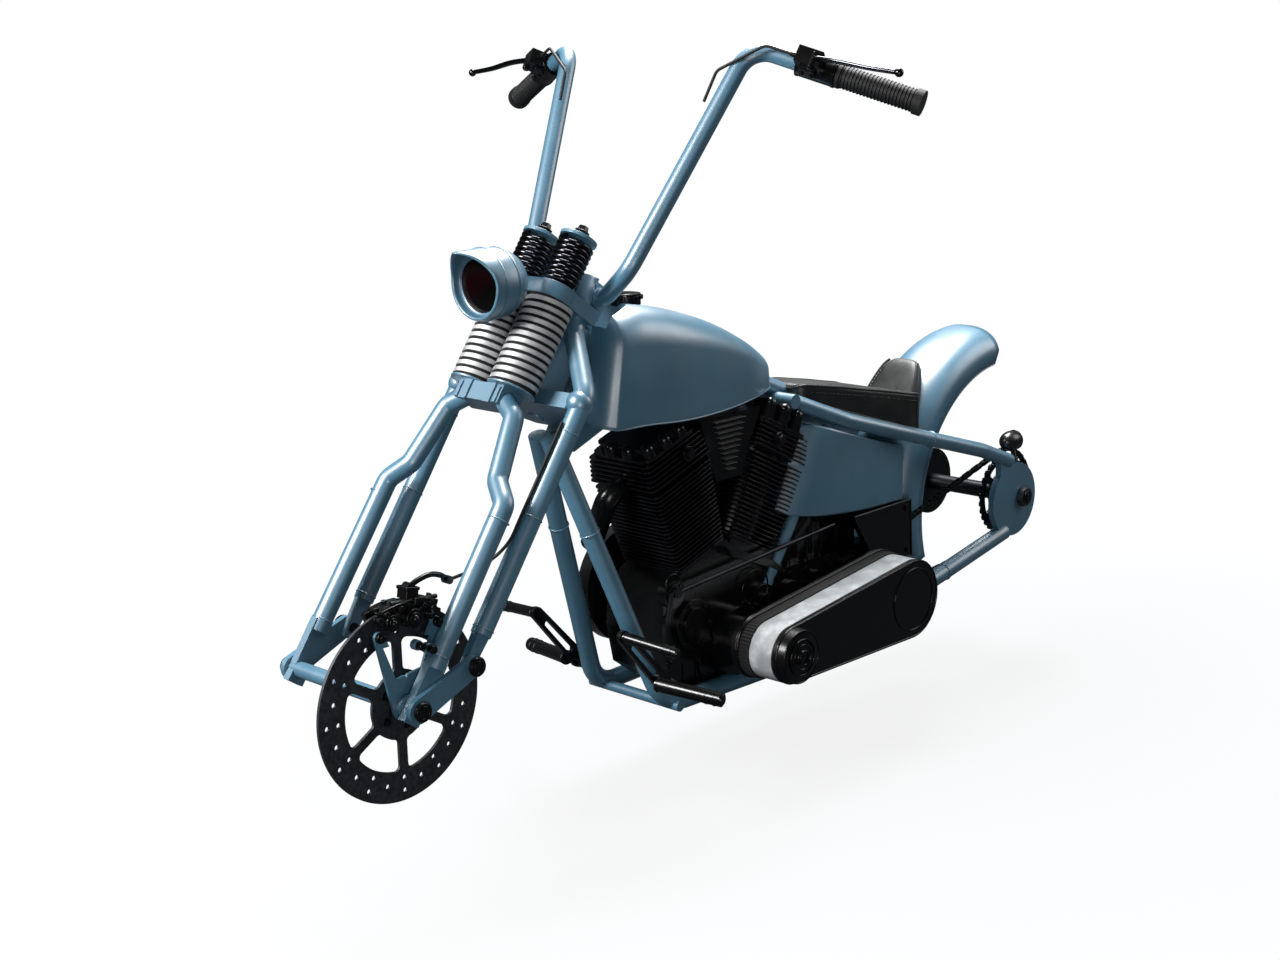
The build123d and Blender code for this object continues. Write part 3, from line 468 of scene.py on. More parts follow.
NODE_FINISHES = {
    "blue paint": (
        "steering_head", "lower_tubes", "upper_rails", "axle_plates", "seat_posts", "cross_tubes", "tank",
        "rear_fender", "oil_tank", "rigid_legs", "fork_stem", "spring_legs", "rockers", "front_axle",
        "caliper_bracket", "headlight_shell", "handlebar",
    ),
    "black paint": (
        "tank_cap", "gearbox_guard", "primary_cover", "lamp_stay", "foot_brackets", "foot_pegs",
        "spring_rods", "pivot_caps", "brake_caliper", "control_housings", "brake_levers", "rear_sprocket",
    ),
    "engine black": (
        "crankcase", "barrels", "cylinder_heads", "intake", "exhaust_elbow", "right_cover", "gearbox",
        "primary_plate",
    ),
    "spring steel": ("lower_springs",),
    "black steel": ("upper_springs",),
    "disc steel": ("front_disc",),
    "dark steel": ("primary_pulleys", "drive_chain", "rear_axle", "shift_rod", "rear_hub", "rear_disc"),
    "seat leather": ("seat", "backrest"),
    "grip rubber": ("grips", "brake_hose", "control_cables"),
    # Painted light: the belt is given a lit light grey.
    "belt painted lit grey": ("primary_belt",),
    "lamp glass": ("headlight_lens",),
    "lamp black": ("tail_lamp",),
}


class BobberSizes(PropertyGroup):
    """The sizes and colours that a user would change."""

    paint: FloatVectorProperty(
        name="Paint", description="Colour of the painted frame, fork and tank", subtype="COLOR",
        size=3, min=0.0, max=1.0, default=(0.046, 0.138, 0.21),
    )
    fin_pitch: FloatProperty(
        name="Fin pitch", description="Distance from one cooling fin to the next", default=0.008,
        unit="LENGTH", subtype="DISTANCE",
    )
    fin_thickness: FloatProperty(
        name="Fin thickness", description="Thickness of one cooling fin", default=0.0026,
        unit="LENGTH", subtype="DISTANCE",
    )
    lower_turns: FloatProperty(
        name="Lower spring turns", description="Turns of each flat-wire lower spring", default=12.0,
    )
    upper_turns: FloatProperty(
        name="Upper spring turns", description="Turns of each round-wire upper spring", default=8.5,
    )
    chain_pitch: FloatProperty(
        name="Chain pitch", description="Distance from one chain pin to the next", default=0.015875,
        unit="LENGTH", subtype="DISTANCE",
    )
    stitch_length: FloatProperty(
        name="Stitch length", description="Length of one stitch on the seat", default=0.005,
        unit="LENGTH", subtype="DISTANCE",
    )
    grip_ribs: IntProperty(
        name="Grip ribs", description="Ribs on each handlebar grip", default=22, min=4,
    )
    key_power: FloatProperty(
        name="Key light", description="Power of the large soft light", default=280.0, unit="POWER",
    )


class BOBBER_OT_frame_finish(Operator):
    """Give each carried-over node its finish"""

    bl_idname = "bobber.frame_finish"
    bl_label = "Finish the frame's nodes"

    def execute(self, context):
        for name, nodes in NODE_FINISHES.items():
            for node in nodes:
                slots = frame["nodes"][node].data.materials
                if len(slots):
                    slots[0] = finish(name)
                else:
                    slots.append(finish(name))
        return {"FINISHED"}


# Engine

CRANK = (-750.0, -98.0)
# Each bank's lean in degrees, the height of its rocker box and how far its fins stand back
BANKS = ((18.5, 17, 0), (-26.5, 34, 5))
DECK = 165.0
BARREL_TOP = 330.0
HEAD_TOP = 384.0
BARREL_CORE_R = 0.056
FLANGE_THICKNESS = 0.006
HEAD_CORE = (0.118, 0.116, 0.053)
HEAD_FINS = 6
HEAD_FIN_PITCH = 8.2
HEAD_BOLT_HEIGHT = 17
# Half length and half width of the fins: at the deck, their growth up to the top, and in the head
BARREL_FIN = (62, 68)
BARREL_GROWTH = (12, 5.5)
HEAD_FIN = (77, 75)
HEAD_LID = (66, 66)
ROCKER_BOX = (54, 55)
ROCKER_LID = (56, 57)
ROCKER_LID_THICKNESS = 0.004
FIN_CORNER = 9
# Places forward and to the left of a bank's axis
HEAD_BOLTS = ((-46, -47), (-46, 47), (46, -47), (46, 47), (0, 50), (0, -50))
HEAD_POSTS = ((-30, 58), (8, 58), (44, 52), (57, 20), (57, -20))
ROCKER_BOLTS = (-40, -13, 13, 40)


def bank_turn(lean):
    """The rotation of one cylinder bank about the crankshaft."""
    return Matrix.Rotation(math.radians(lean), 4, "Y")


def bank_up(lean):
    """The direction of a bank's own axis."""
    return bank_turn(lean) @ UPWARDS


def bank_at(lean, forward, across, up):
    """A point of a bank: forward, to the left and up along its own axis, from the crankshaft."""
    return at(CRANK[0], 0, CRANK[1]) + bank_turn(lean) @ (Vector((forward, across, up)) * MM)


def add_fin(bm, lean, along, half_x, half_y, thick, corner, forward=0):
    """One cooling fin with round corners."""
    verts = add_block(
        bm, bank_at(lean, forward, 0, along), (2 * half_x * MM, 2 * half_y * MM, thick), bank_turn(lean)
    )
    axis = bank_up(lean)
    upright = [
        edge for edge in edges_of(verts)
        if abs((edge.verts[0].co - edge.verts[1].co).normalized().dot(axis)) > 0.9
    ]
    bmesh.ops.bevel(
        bm, geom=upright, offset=corner * MM, segments=3, profile=0.5, affect="EDGES", material=-1
    )


class BOBBER_OT_cylinders(Operator):
    """Build the finned barrels and the cylinder heads with their rocker boxes"""

    bl_idname = "bobber.cylinders"
    bl_label = "Finned cylinders"

    def execute(self, context):
        pitch = sizes().fin_pitch / MM
        thick = sizes().fin_thickness
        bm = bmesh.new()
        for lean, _, back in BANKS:
            foot = bank_at(lean, 0, 0, DECK - 2)
            add_drum(bm, foot, bank_at(lean, 0, 0, BARREL_TOP), BARREL_CORE_R, 48)
            add_fin(bm, lean, DECK + 3, *BARREL_FIN, FLANGE_THICKNESS, 10)
            along = DECK + 10
            while along < BARREL_TOP - 3:
                grow = (along - DECK) / (BARREL_TOP - DECK)
                half_x = BARREL_FIN[0] + BARREL_GROWTH[0] * grow + back
                half_y = BARREL_FIN[1] + BARREL_GROWTH[1] * grow
                add_fin(bm, lean, along, half_x, half_y, thick, FIN_CORNER, -back)
                along += pitch
        finish_piece(bm, "finned_barrels", "frame", "fin black", ("barrels",), bevel=0.0006)
        bm = bmesh.new()
        for lean, room, back in BANKS:
            add_block(
                bm, bank_at(lean, 0, 0, (BARREL_TOP + HEAD_TOP) / 2), HEAD_CORE, bank_turn(lean)
            )
            for step in range(HEAD_FINS):
                along = BARREL_TOP + 4 + step * HEAD_FIN_PITCH
                half_x = HEAD_FIN[0] - 1.2 * step + back
                add_fin(bm, lean, along, half_x, HEAD_FIN[1] - step, thick, FIN_CORNER, -back)
            add_fin(bm, lean, HEAD_TOP - 3, *HEAD_LID, FLANGE_THICKNESS, 18)
            add_fin(bm, lean, HEAD_TOP + room / 2, *ROCKER_BOX, room * MM, 12)
            add_fin(bm, lean, HEAD_TOP + room - 3, *ROCKER_LID, ROCKER_LID_THICKNESS, 13)
            for forward, across in HEAD_BOLTS:
                spot = bank_at(lean, forward, across, HEAD_TOP + 1)
                add_hex_bolt(bm, spot, bank_up(lean), 0.0055, HEAD_BOLT_HEIGHT * MM)
            for forward, across in HEAD_POSTS:
                low = bank_at(lean, forward, across, HEAD_TOP - 2)
                high = bank_at(lean, forward, across, HEAD_TOP + room - 6)
                add_drum(bm, low, high, 0.0125, 32, 0.0115)
                add_ball(bm, high, 0.0112, 20)
            for forward in ROCKER_BOLTS:
                spot = bank_at(lean, forward, 55, HEAD_TOP + room / 2)
                add_hex_bolt(bm, spot, bank_turn(lean) @ ACROSS, 0.005, 0.004)
            spark = bank_at(lean, -20 if lean > 0 else 20, 74, BARREL_TOP + 26)
            add_drum(bm, spark, spark + ACROSS * 0.004, 0.013, 24)
            add_drum(bm, spark + ACROSS * 0.004, spark + ACROSS * 0.01, 0.009, 6)
        finish_piece(
            bm, "finned_heads", "frame", "fin black", ("cylinder_heads",), bevel=0.0008
        )
        return {"FINISHED"}


# Springs

SPRING_SIDES = (-42.0, 42.0)
SPRING_OFFSET = -8.0
SPRING_LOW = 502.3
SPRING_LENGTH = 153.4
COIL_STEPS = 30
COIL_FOOT_GAP = 0.4
COIL_TOP_ROOM = 7.1
LOWER_MEAN_R = 0.0335
# Radius of the black core that paints shade into the gaps of the lower springs.
COIL_SHADE_R = 0.0372
UPPER_SPRING_LOW = 681
UPPER_SPRING_HEIGHT = 0.0745
UPPER_MEAN_R = 0.0258
UPPER_WIRE_R = 0.0042
WIRE_SIDES = 10
FLAT_WIRE = [(-0.0055, 0.0), (0.0055, 0.0), (0.0055, 0.0069), (-0.0055, 0.0069)]


def spring_at(s, y):
    """A point on the axis of a spring, s millimetres up the fork."""
    return fork_at(s, SPRING_OFFSET, y)


def add_coil(bm, base, mean_r, height, turns, wire):
    """A spring up the fork, wound from a closed profile given as out and up distances."""
    up = FORK_UP
    out = up.cross(ACROSS).normalized()
    verts = [bm.verts.new(base + out * (mean_r + a) + up * b) for a, b in wire]
    edges = [bm.edges.new((verts[i], verts[(i + 1) % len(verts)])) for i in range(len(verts))]
    bm.faces.new(verts)
    total = int(turns * COIL_STEPS)
    spun = bmesh.ops.spin(
        bm, geom=verts + edges, cent=base, axis=up, dvec=up * height / total, angle=math.tau * turns,
        steps=total, use_duplicate=False,
    )
    last = [item for item in spun["geom_last"] if isinstance(item, bmesh.types.BMEdge)]
    bmesh.ops.holes_fill(bm, edges=last, sides=0)


class BOBBER_OT_springs(Operator):
    """Wind the lower flat-wire springs and the black upper springs"""

    bl_idname = "bobber.springs"
    bl_label = "Fork springs"

    def execute(self, context):
        bm = bmesh.new()
        height = (SPRING_LENGTH - COIL_TOP_ROOM) * MM
        for y in SPRING_SIDES:
            foot = spring_at(SPRING_LOW + COIL_FOOT_GAP, y)
            add_coil(bm, foot, LOWER_MEAN_R, height, sizes().lower_turns, FLAT_WIRE)
        finish_piece(
            bm, "lower_coils", "fork", "spring steel", ("lower_springs",), angle=30
        )
        # Black cores inside the lower coils, reaching nearly to their outside, are painted shade that
        # darkens the gaps between the turns.
        bm = bmesh.new()
        for y in SPRING_SIDES:
            add_drum(bm, spring_at(503, y), spring_at(655.4, y), COIL_SHADE_R, 64)
        finish_piece(bm, "coil_gap_shade", "fork", "painted gap shade", angle=60)
        bm = bmesh.new()
        turns = [math.tau * k / WIRE_SIDES for k in range(WIRE_SIDES)]
        wire = [(UPPER_WIRE_R * math.cos(turn), UPPER_WIRE_R * (1 + math.sin(turn))) for turn in turns]
        for y in SPRING_SIDES:
            foot = spring_at(UPPER_SPRING_LOW, y)
            add_coil(bm, foot, UPPER_MEAN_R, UPPER_SPRING_HEIGHT, sizes().upper_turns, wire)
        finish_piece(bm, "upper_coils", "fork", "black steel", ("upper_springs",), angle=60)
        return {"FINISHED"}


# Tank and other lofted bodies

def add_hull(bm, rings, count):
    """A closed body through rings, each given as centre, across and up vectors and squareness."""
    loops = []
    for centre, across, up, square in rings:
        verts = bmesh.ops.create_circle(bm, cap_ends=False, segments=count, radius=1.0)["verts"]
        for vert in verts:
            angle = math.atan2(vert.co.y, vert.co.x)
            a = math.copysign(abs(math.cos(angle)) ** (2 / square), math.cos(angle))
            b = math.copysign(abs(math.sin(angle)) ** (2 / square), math.sin(angle))
            vert.co = centre + across * a + up * b
        loops.append(edges_of(verts))
    bridge_and_cap(bm, loops)


def section_points(x_low, x_high, half, low, high, r_top, r_low):
    """An upright section with rounded corners, leaning if its two x values differ."""
    points = []
    for y, z, radius, start in (
        (half - r_low, low + r_low, r_low, -90), (half - r_top, high - r_top, r_top, 0),
        (r_top - half, high - r_top, r_top, 90), (r_low - half, low + r_low, r_low, 180),
    ):
        for k in range(7):
            turn = math.radians(start + 15 * k)
            up = z + radius * math.sin(turn)
            share = (up - low) / (high - low)
            points.append(at(x_low + (x_high - x_low) * share, y + radius * math.cos(turn), up))
    return points


def smooth_rows(rows, steps):
    """More rows of sizes on a smooth curve through the given ones."""
    return [tuple(row) for row in smooth_line([Vector(row) for row in rows], steps)]


def add_loft(bm, rows, steps):
    """A closed body through upright sections."""
    loops = []
    for row in smooth_rows(rows, steps):
        verts = [bm.verts.new(point) for point in section_points(*row)]
        loops.append([bm.edges.new((verts[i - 1], verts[i])) for i in range(len(verts))])
    bridge_and_cap(bm, loops)


def carve(bm, cutter):
    """Takes the cutter's shape out of the mesh."""
    holders = []
    for shape in (bm, cutter):
        bmesh.ops.recalc_face_normals(shape, faces=shape.faces)
        mesh = bpy.data.meshes.new("carving")
        shape.to_mesh(mesh)
        shape.free()
        holders.append(link_object("carving", mesh))
    body, tool = holders
    cut = body.modifiers.new("Cut", "BOOLEAN")
    cut.operation = "DIFFERENCE"
    cut.solver = "EXACT"
    cut.object = tool
    bpy.context.view_layer.update()
    evaluated = body.evaluated_get(bpy.context.evaluated_depsgraph_get())
    mesh = bpy.data.meshes.new_from_object(evaluated)
    left = bmesh.new()
    left.from_mesh(mesh)
    bpy.data.meshes.remove(mesh)
    for holder in holders:
        used = holder.data
        bpy.data.objects.remove(holder)
        bpy.data.meshes.remove(used)
    return left


# Rooms for the steering head in the tank: from and to along the fork, and the radius
HEAD_ROOMS = ((673, 790, 0.0585), (655, 675, 0.0315))
STEM_OFFSET = -115
EDGE_WIRE_R = 0.0016

# Each section's x at the foot and at the top, half width, low and high z, and its upper and lower corners
TANK_ROWS = [
    (-457, -487, 40, 330, 482, 30, 9),
    (-459, -490, 58, 325, 489, 44, 8),
    (-464, -495, 72, 320, 494, 52, 7),
    (-474, -503, 83, 317, 499, 56, 6),
    (-490, -515, 90, 315, 502, 58, 6),
    (-545, -560, 94, 314, 504, 60, 6),
    (-640, -645, 95, 307, 487, 60, 6),
    (-740, -742, 84, 305, 455, 50, 6),
    (-830, -830, 68, 308, 414, 38, 6),
    (-885, -882, 51, 311, 384, 28, 6),
    (-904, -900, 44, 314, 370, 22, 6),
    (-911, -907, 34, 320, 360, 14, 6),
]
OIL_ROWS = [
    (-900, -972, 54, 92, 238, 5, 5),
    (-912, -986, 68, 87, 238, 5, 5),
    (-945, -1008, 86, 80, 233, 5, 5),
    (-1000, -1040, 95, 72, 222, 5, 5),
    (-1093, -1093, 96, 62, 204, 5, 5),
    (-1160, -1160, 96, 59, 181, 5, 5),
    (-1222, -1224, 96, 58, 160, 5, 5),
]


class BOBBER_OT_tank(Operator):
    """Build the fuel tank with its lower seam, and the oil tank"""

    bl_idname = "bobber.tank"
    bl_label = "Fuel and oil tanks"

    def execute(self, context):
        bm = bmesh.new()
        add_loft(bm, TANK_ROWS, 6)
        for low, high, radius in HEAD_ROOMS:
            room = bmesh.new()
            add_drum(room, fork_at(low, STEM_OFFSET, 0), fork_at(high, STEM_OFFSET, 0), radius, 64)
            bm = carve(bm, room)
        finish_piece(bm, "tank_shell", "frame", "blue paint", ("tank",), angle=35)
        bm = bmesh.new()
        rows = smooth_rows(TANK_ROWS[2:], 6)
        for side in SIDES:
            line = [at(row[0], side * (row[2] - 1.5), row[3] + 1.5) for row in rows]
            add_path(bm, line, EDGE_WIRE_R, 3)
        finish_piece(bm, "tank_seam", "frame", "blue paint", angle=60)
        bm = bmesh.new()
        add_loft(bm, OIL_ROWS, 5)
        finish_piece(bm, "oil_tank_shell", "frame", "blue paint", ("oil_tank",), angle=35)
        return {"FINISHED"}


# Seat

SEAT_ROWS = [
    (-984, -984, 28, 289, 301, 5, 3),
    (-988, -988, 40, 283, 305, 7, 3),
    (-1002, -1002, 51, 275, 306, 8, 3),
    (-1060, -1060, 76, 252, 297, 8, 3),
    (-1120, -1120, 90, 231, 285, 8, 3),
    (-1180, -1180, 100, 211, 273, 8, 3),
    (-1225, -1225, 107, 196, 263, 8, 3),
    (-1250, -1250, 107, 191, 258, 9, 4),
    (-1264, -1264, 102, 191, 255, 10, 5),
    (-1272, -1272, 92, 193, 252, 10, 6),
]
STITCH_SPACING = 0.0075
BACK_STITCH_SPACING = 0.007
THREAD_R = 0.0008
PIPING_R = 0.0024
LOW_PIPING_R = 0.0018
BACK_PIPING_R = 0.002

# Each ring's x and z, half width, depth and squareness
BACK_RINGS = [
    (-1296, 186, 59, 12, 5.0),
    (-1299, 192, 61, 15, 5.5),
    (-1318, 222, 58, 18, 5.5),
    (-1336, 252, 50, 17, 5.0),
    (-1352, 276, 41, 15, 4.0),
    (-1361, 288, 33, 12, 3.4),
    (-1366, 294, 22, 7, 2.6),
]
BACK_LEAN = Vector((0.82, 0.0, 0.57))


def add_stitches(bm, line, up, spacing):
    """A row of short threads along a line."""
    length = sizes().stitch_length
    for start, end in zip(line, line[1:]):
        run = end - start
        count = max(1, int(run.length / spacing))
        step = run.normalized()
        for index in range(count):
            middle = start + run * ((index + 0.5) / count) + up * THREAD_R
            add_drum(bm, middle - step * length / 2, middle + step * length / 2, THREAD_R, 6)


class BOBBER_OT_seat(Operator):
    """Build the leather seat with its piping, and the small backrest pad"""

    bl_idname = "bobber.seat"
    bl_label = "Seat and backrest"

    def execute(self, context):
        bm = bmesh.new()
        add_loft(bm, SEAT_ROWS, 4)
        cushion = finish_piece(
            bm, "seat_cushion", "frame", "seat leather", ("seat",), angle=80
        )
        rows = smooth_rows(SEAT_ROWS, 4)
        sides = [[at(row[1], side * (row[2] - 1.6), row[4] - 1.6) for row in rows] for side in SIDES]
        outline = sides[0][::-1] + sides[1]
        bm = bmesh.new()
        add_path(bm, outline, PIPING_R, 3, cyclic=True)
        lower = [[at(row[0], side * (row[2] - 0.6), row[3] + 2.0) for row in rows] for side in SIDES]
        add_path(bm, lower[0][::-1] + lower[1], LOW_PIPING_R, 3, cyclic=True)
        for side in SIDES:
            line = [at(-1252, side * 107.2, z) for z in (194, 212, 234, 252)]
            add_path(bm, line, LOW_PIPING_R, 3)
        finish_piece(bm, "seat_piping", "frame", "seat leather", angle=60)
        bm = bmesh.new()
        for side in SIDES:
            line = [at(row[1], side * (row[2] - 7.5), row[4] - 0.4) for row in rows[3:-3]]
            add_stitches(bm, line, UPWARDS, STITCH_SPACING)
            line = [at(row[0], side * (row[2] - 0.2), row[4] - 14.0) for row in rows[5:-6]]
            add_stitches(bm, line, ACROSS * side, STITCH_SPACING)
        finish_piece(bm, "seat_stitches", "frame", "seat thread", angle=60)
        bm = bmesh.new()
        rings = [
            (at(x, 0, z), ACROSS * half * MM, BACK_LEAN * deep * MM, square)
            for x, z, half, deep, square in BACK_RINGS
        ]
        add_hull(bm, rings, 44)
        pad = finish_piece(
            bm, "backrest_pad", "frame", "seat leather", ("backrest",), angle=80, subdivide=1
        )
        bm = bmesh.new()
        threads = bmesh.new()
        for side in SIDES:
            line = []
            seam = []
            for x, z, half, deep, _ in BACK_RINGS[:-1]:
                line.append(at(x, side * half * 0.955, z) + BACK_LEAN * deep * 0.9 * MM)
                seam.append(at(x, side * (half + 0.2), z) + BACK_LEAN * deep * 0.45 * MM)
            add_path(bm, smooth_line(line, 5), BACK_PIPING_R, 3)
            add_stitches(threads, smooth_line(seam, 5), ACROSS * side, BACK_STITCH_SPACING)
        finish_piece(bm, "backrest_piping", "frame", "seat leather", angle=60)
        finish_piece(threads, "backrest_stitches", "frame", "seat thread", angle=60)
        return {"FINISHED"}


# Rear fender

FENDER_HALF = 78.0
FENDER_CROWN_R = 336.0
FENDER_FLANK_R = 284.0
FENDER_EDGE_R = 267.0
FENDER_TAIL_DEG = 2.0
FENDER_SWEEP_DEG = 105.0
FENDER_WALL = 0.003
FENDER_WIDTH_STEPS = 26
FENDER_SWEEP_STEPS = 46
FENDER_BEAD_STEPS = 40
FENDER_BEAD_START_DEG = 4
TAIL_ROUND_DEG = 12
TAIL_PULL_DEG = 3.2
TAIL_PULL_HEIGHT = 24


def rear_at(angle_deg, radius, across):
    """A point on a circle about the rear axle, its angle counted from straight up towards the front."""
    turn = math.radians(angle_deg)
    return REAR_AXLE + Vector((math.sin(turn) * radius, across, math.cos(turn) * radius)) * MM


def fender_radius(across):
    """The fender's height over the axle at a distance from the centre plane."""
    share = max(0.0, 1.0 - abs(across / FENDER_HALF) ** 2.5) ** (1 / 2.1)
    return FENDER_FLANK_R + (FENDER_CROWN_R - FENDER_FLANK_R) * share


class BOBBER_OT_fender(Operator):
    """Roll the rear fender with its rounded tail and beaded edge"""

    bl_idname = "bobber.fender"
    bl_label = "Rear fender"

    def execute(self, context):
        bm = bmesh.new()
        turns = [math.pi * k / FENDER_WIDTH_STEPS for k in range(FENDER_WIDTH_STEPS + 1)]
        widths = [-FENDER_HALF * math.cos(turn) for turn in turns]
        spots = [(y, fender_radius(y)) for y in widths]
        spots = [(-FENDER_HALF, FENDER_EDGE_R)] + spots + [(FENDER_HALF, FENDER_EDGE_R)]
        verts = [bm.verts.new(rear_at(FENDER_TAIL_DEG, radius, y)) for y, radius in spots]
        edges = [bm.edges.new(pair) for pair in zip(verts, verts[1:])]
        bmesh.ops.spin(
            bm, geom=verts + edges, cent=REAR_AXLE, axis=ACROSS, angle=math.radians(FENDER_SWEEP_DEG),
            steps=FENDER_SWEEP_STEPS, use_duplicate=False,
        )
        for vert in bm.verts:
            arm = vert.co - REAR_AXLE
            turn = math.degrees(math.atan2(arm.x, arm.z)) - FENDER_TAIL_DEG
            if turn < TAIL_ROUND_DEG:
                radius = math.hypot(arm.x, arm.z) / MM
                low = max(0.0, 1 - (radius - FENDER_EDGE_R) / TAIL_PULL_HEIGHT)
                pull = TAIL_PULL_DEG * low * (1 - turn / TAIL_ROUND_DEG)
                vert.co = rear_at(FENDER_TAIL_DEG + turn + pull, radius, arm.y / MM)
        fender = finish_piece(
            bm, "fender_skin", "frame", "blue paint", ("rear_fender",), angle=80
        )
        wall = fender.modifiers.new("Wall", "SOLIDIFY")
        wall.thickness = FENDER_WALL
        wall.offset = -1.0
        bm = bmesh.new()
        sweep = FENDER_SWEEP_DEG - FENDER_BEAD_START_DEG
        turns = [
            FENDER_TAIL_DEG + FENDER_BEAD_START_DEG + sweep * k / FENDER_BEAD_STEPS
            for k in range(FENDER_BEAD_STEPS + 1)
        ]
        for side in SIDES:
            line = [rear_at(turn, FENDER_EDGE_R, side * (FENDER_HALF - 1)) for turn in turns]
            add_path(bm, line, EDGE_WIRE_R, 3)
        finish_piece(bm, "fender_bead", "frame", "blue paint")
        return {"FINISHED"}


# Headlight

LAMP_Z = 565.0
LAMP_LENS_R = 46.0
VISOR_REACH = 38.0
VISOR_HALF_DEG = 82
LENS_X = -287
LENS_FLATNESS = 0.16
# The seams round the shell: x, radius and wire
LAMP_SEAMS = ((-290, 0.0556, 0.0011), (-318, 0.0541, 0.0007))
# Each ring's x, its radius and its share of the visor's reach
LAMP_RINGS = (
    (-360, 10, 0), (-357, 24, 0), (-349, 38, 0), (-336, 48, 0), (-320, 53.5, 0), (-300, 55.5, 0),
    (-284, 55.5, 0), (-275, 54.5, 0), (-272, 54, 1), (-271, 51, 1), (-272, 48.5, 0.97),
    (-282, LAMP_LENS_R + 1.5, 0.2), (LENS_X, LAMP_LENS_R, 0),
)


class BOBBER_OT_headlight(Operator):
    """Build the headlight's shell with its peaked rim, and the dark lens"""

    bl_idname = "bobber.headlight"
    bl_label = "Headlight"

    def execute(self, context):
        bm = bmesh.new()
        loops = []
        for x, radius, peak in LAMP_RINGS:
            verts = bmesh.ops.create_circle(bm, cap_ends=False, segments=48, radius=1.0)["verts"]
            for vert in verts:
                angle = math.atan2(vert.co.y, vert.co.x)
                off = abs(math.degrees(angle) - 90)
                off = min(off, 360 - off)
                near_top = max(0.0, 1 - off / VISOR_HALF_DEG)
                lift = near_top ** 1.35 * VISOR_REACH * peak
                wide = radius * (1 + 0.03 * peak * near_top ** 3)
                vert.co = at(x + lift, wide * math.cos(angle), LAMP_Z + wide * math.sin(angle))
            loops.append(edges_of(verts))
        bridge_and_cap(bm, loops)
        finish_piece(
            bm, "lamp_shell", "fork", "blue paint", ("headlight_shell",), angle=60, subdivide=1
        )
        bm = bmesh.new()
        for x, radius, wire in LAMP_SEAMS:
            add_ring(bm, at(x, 0, LAMP_Z), FORWARDS, radius, wire, 64, 6)
        add_hex_bolt(bm, at(-292, 0, LAMP_Z - 56), -UPWARDS, 0.004, 0.004)
        finish_piece(bm, "lamp_seams", "fork", "blue paint")
        bm = bmesh.new()
        verts = add_ball(bm, Vector((0, 0, 0)), LAMP_LENS_R * MM, 40)
        flatten = Matrix.Diagonal((LENS_FLATNESS, 1, 1, 1))
        place = Matrix.Translation(at(LENS_X, 0, LAMP_Z))
        bmesh.ops.transform(bm, verts=verts, matrix=place @ flatten)
        finish_piece(bm, "lamp_lens", "fork", "lamp glass", ("headlight_lens",), angle=80)
        return {"FINISHED"}


# Front brake

DISC_Y = 108.0
ROTOR_BOLTS = 5
ARC_STEPS = 10
# The caliper's curved blocks: radii, angles, the near side's y and the thickness in metres
CALIPER_BLOCKS = (
    (112, 153, 72, 114, 91, 0.01), (127, 152, 76, 112, 114, 0.012), (149, 156, 76, 94, 95, 0.033),
    (149, 160, 98, 114, 95, 0.034),
)
# Pistons: the angle about the front axle, the distance out, the radius and the outer side's y
PISTONS = ((81, 133, 12.5, 132), (97, 131, 14.5, 134), (111, 138, 9, 130))
# Bolts: the angle about the front axle, the distance out and y
CALIPER_BOLTS = (
    (73, 147, 129), (78, 150, 131), (88, 149, 130), (104, 149, 131), (109, 154, 129), (116, 145, 127),
    (84, 141, 131), (102, 143, 130),
)
BRIDGE_BOLTS = ((76, 157, 118), (84, 156, 106), (110, 161, 118), (104, 161, 104))
FITTING_TILT_DEG = -10
SLIDE_PINS = ((40, 113), (-65, 112))
LINE_CLAMPS = ((-19, 89.6), (-38.6, 80))
LINE_POINTS = [
    at(-24, 112, 170), at(-40, 113, 177), at(-62, 114, 181), at(-82, 114, 176), at(-96, 113, 166),
    at(-120, 112, 166), fork_at(236, -36, 112), fork_at(278, -43, 134), fork_at(330, -43, 137),
    fork_at(480, -43, 137),
]
BANJO_PLACES = (at(-24, 112, 172), at(-96, 113, 166))


def disc_at(angle_deg, radius, across):
    """A point on a circle about the front axle."""
    turn = math.radians(angle_deg)
    return at(radius * math.cos(turn), across, radius * math.sin(turn))


def arc_outline(inner, outer, low_deg, high_deg, across):
    """The outline of a curved block about the front axle."""
    turns = [low_deg + (high_deg - low_deg) * k / ARC_STEPS for k in range(ARC_STEPS + 1)]
    outside = [disc_at(turn, outer, across) for turn in turns]
    return outside + [disc_at(turn, inner, across) for turn in reversed(turns)]


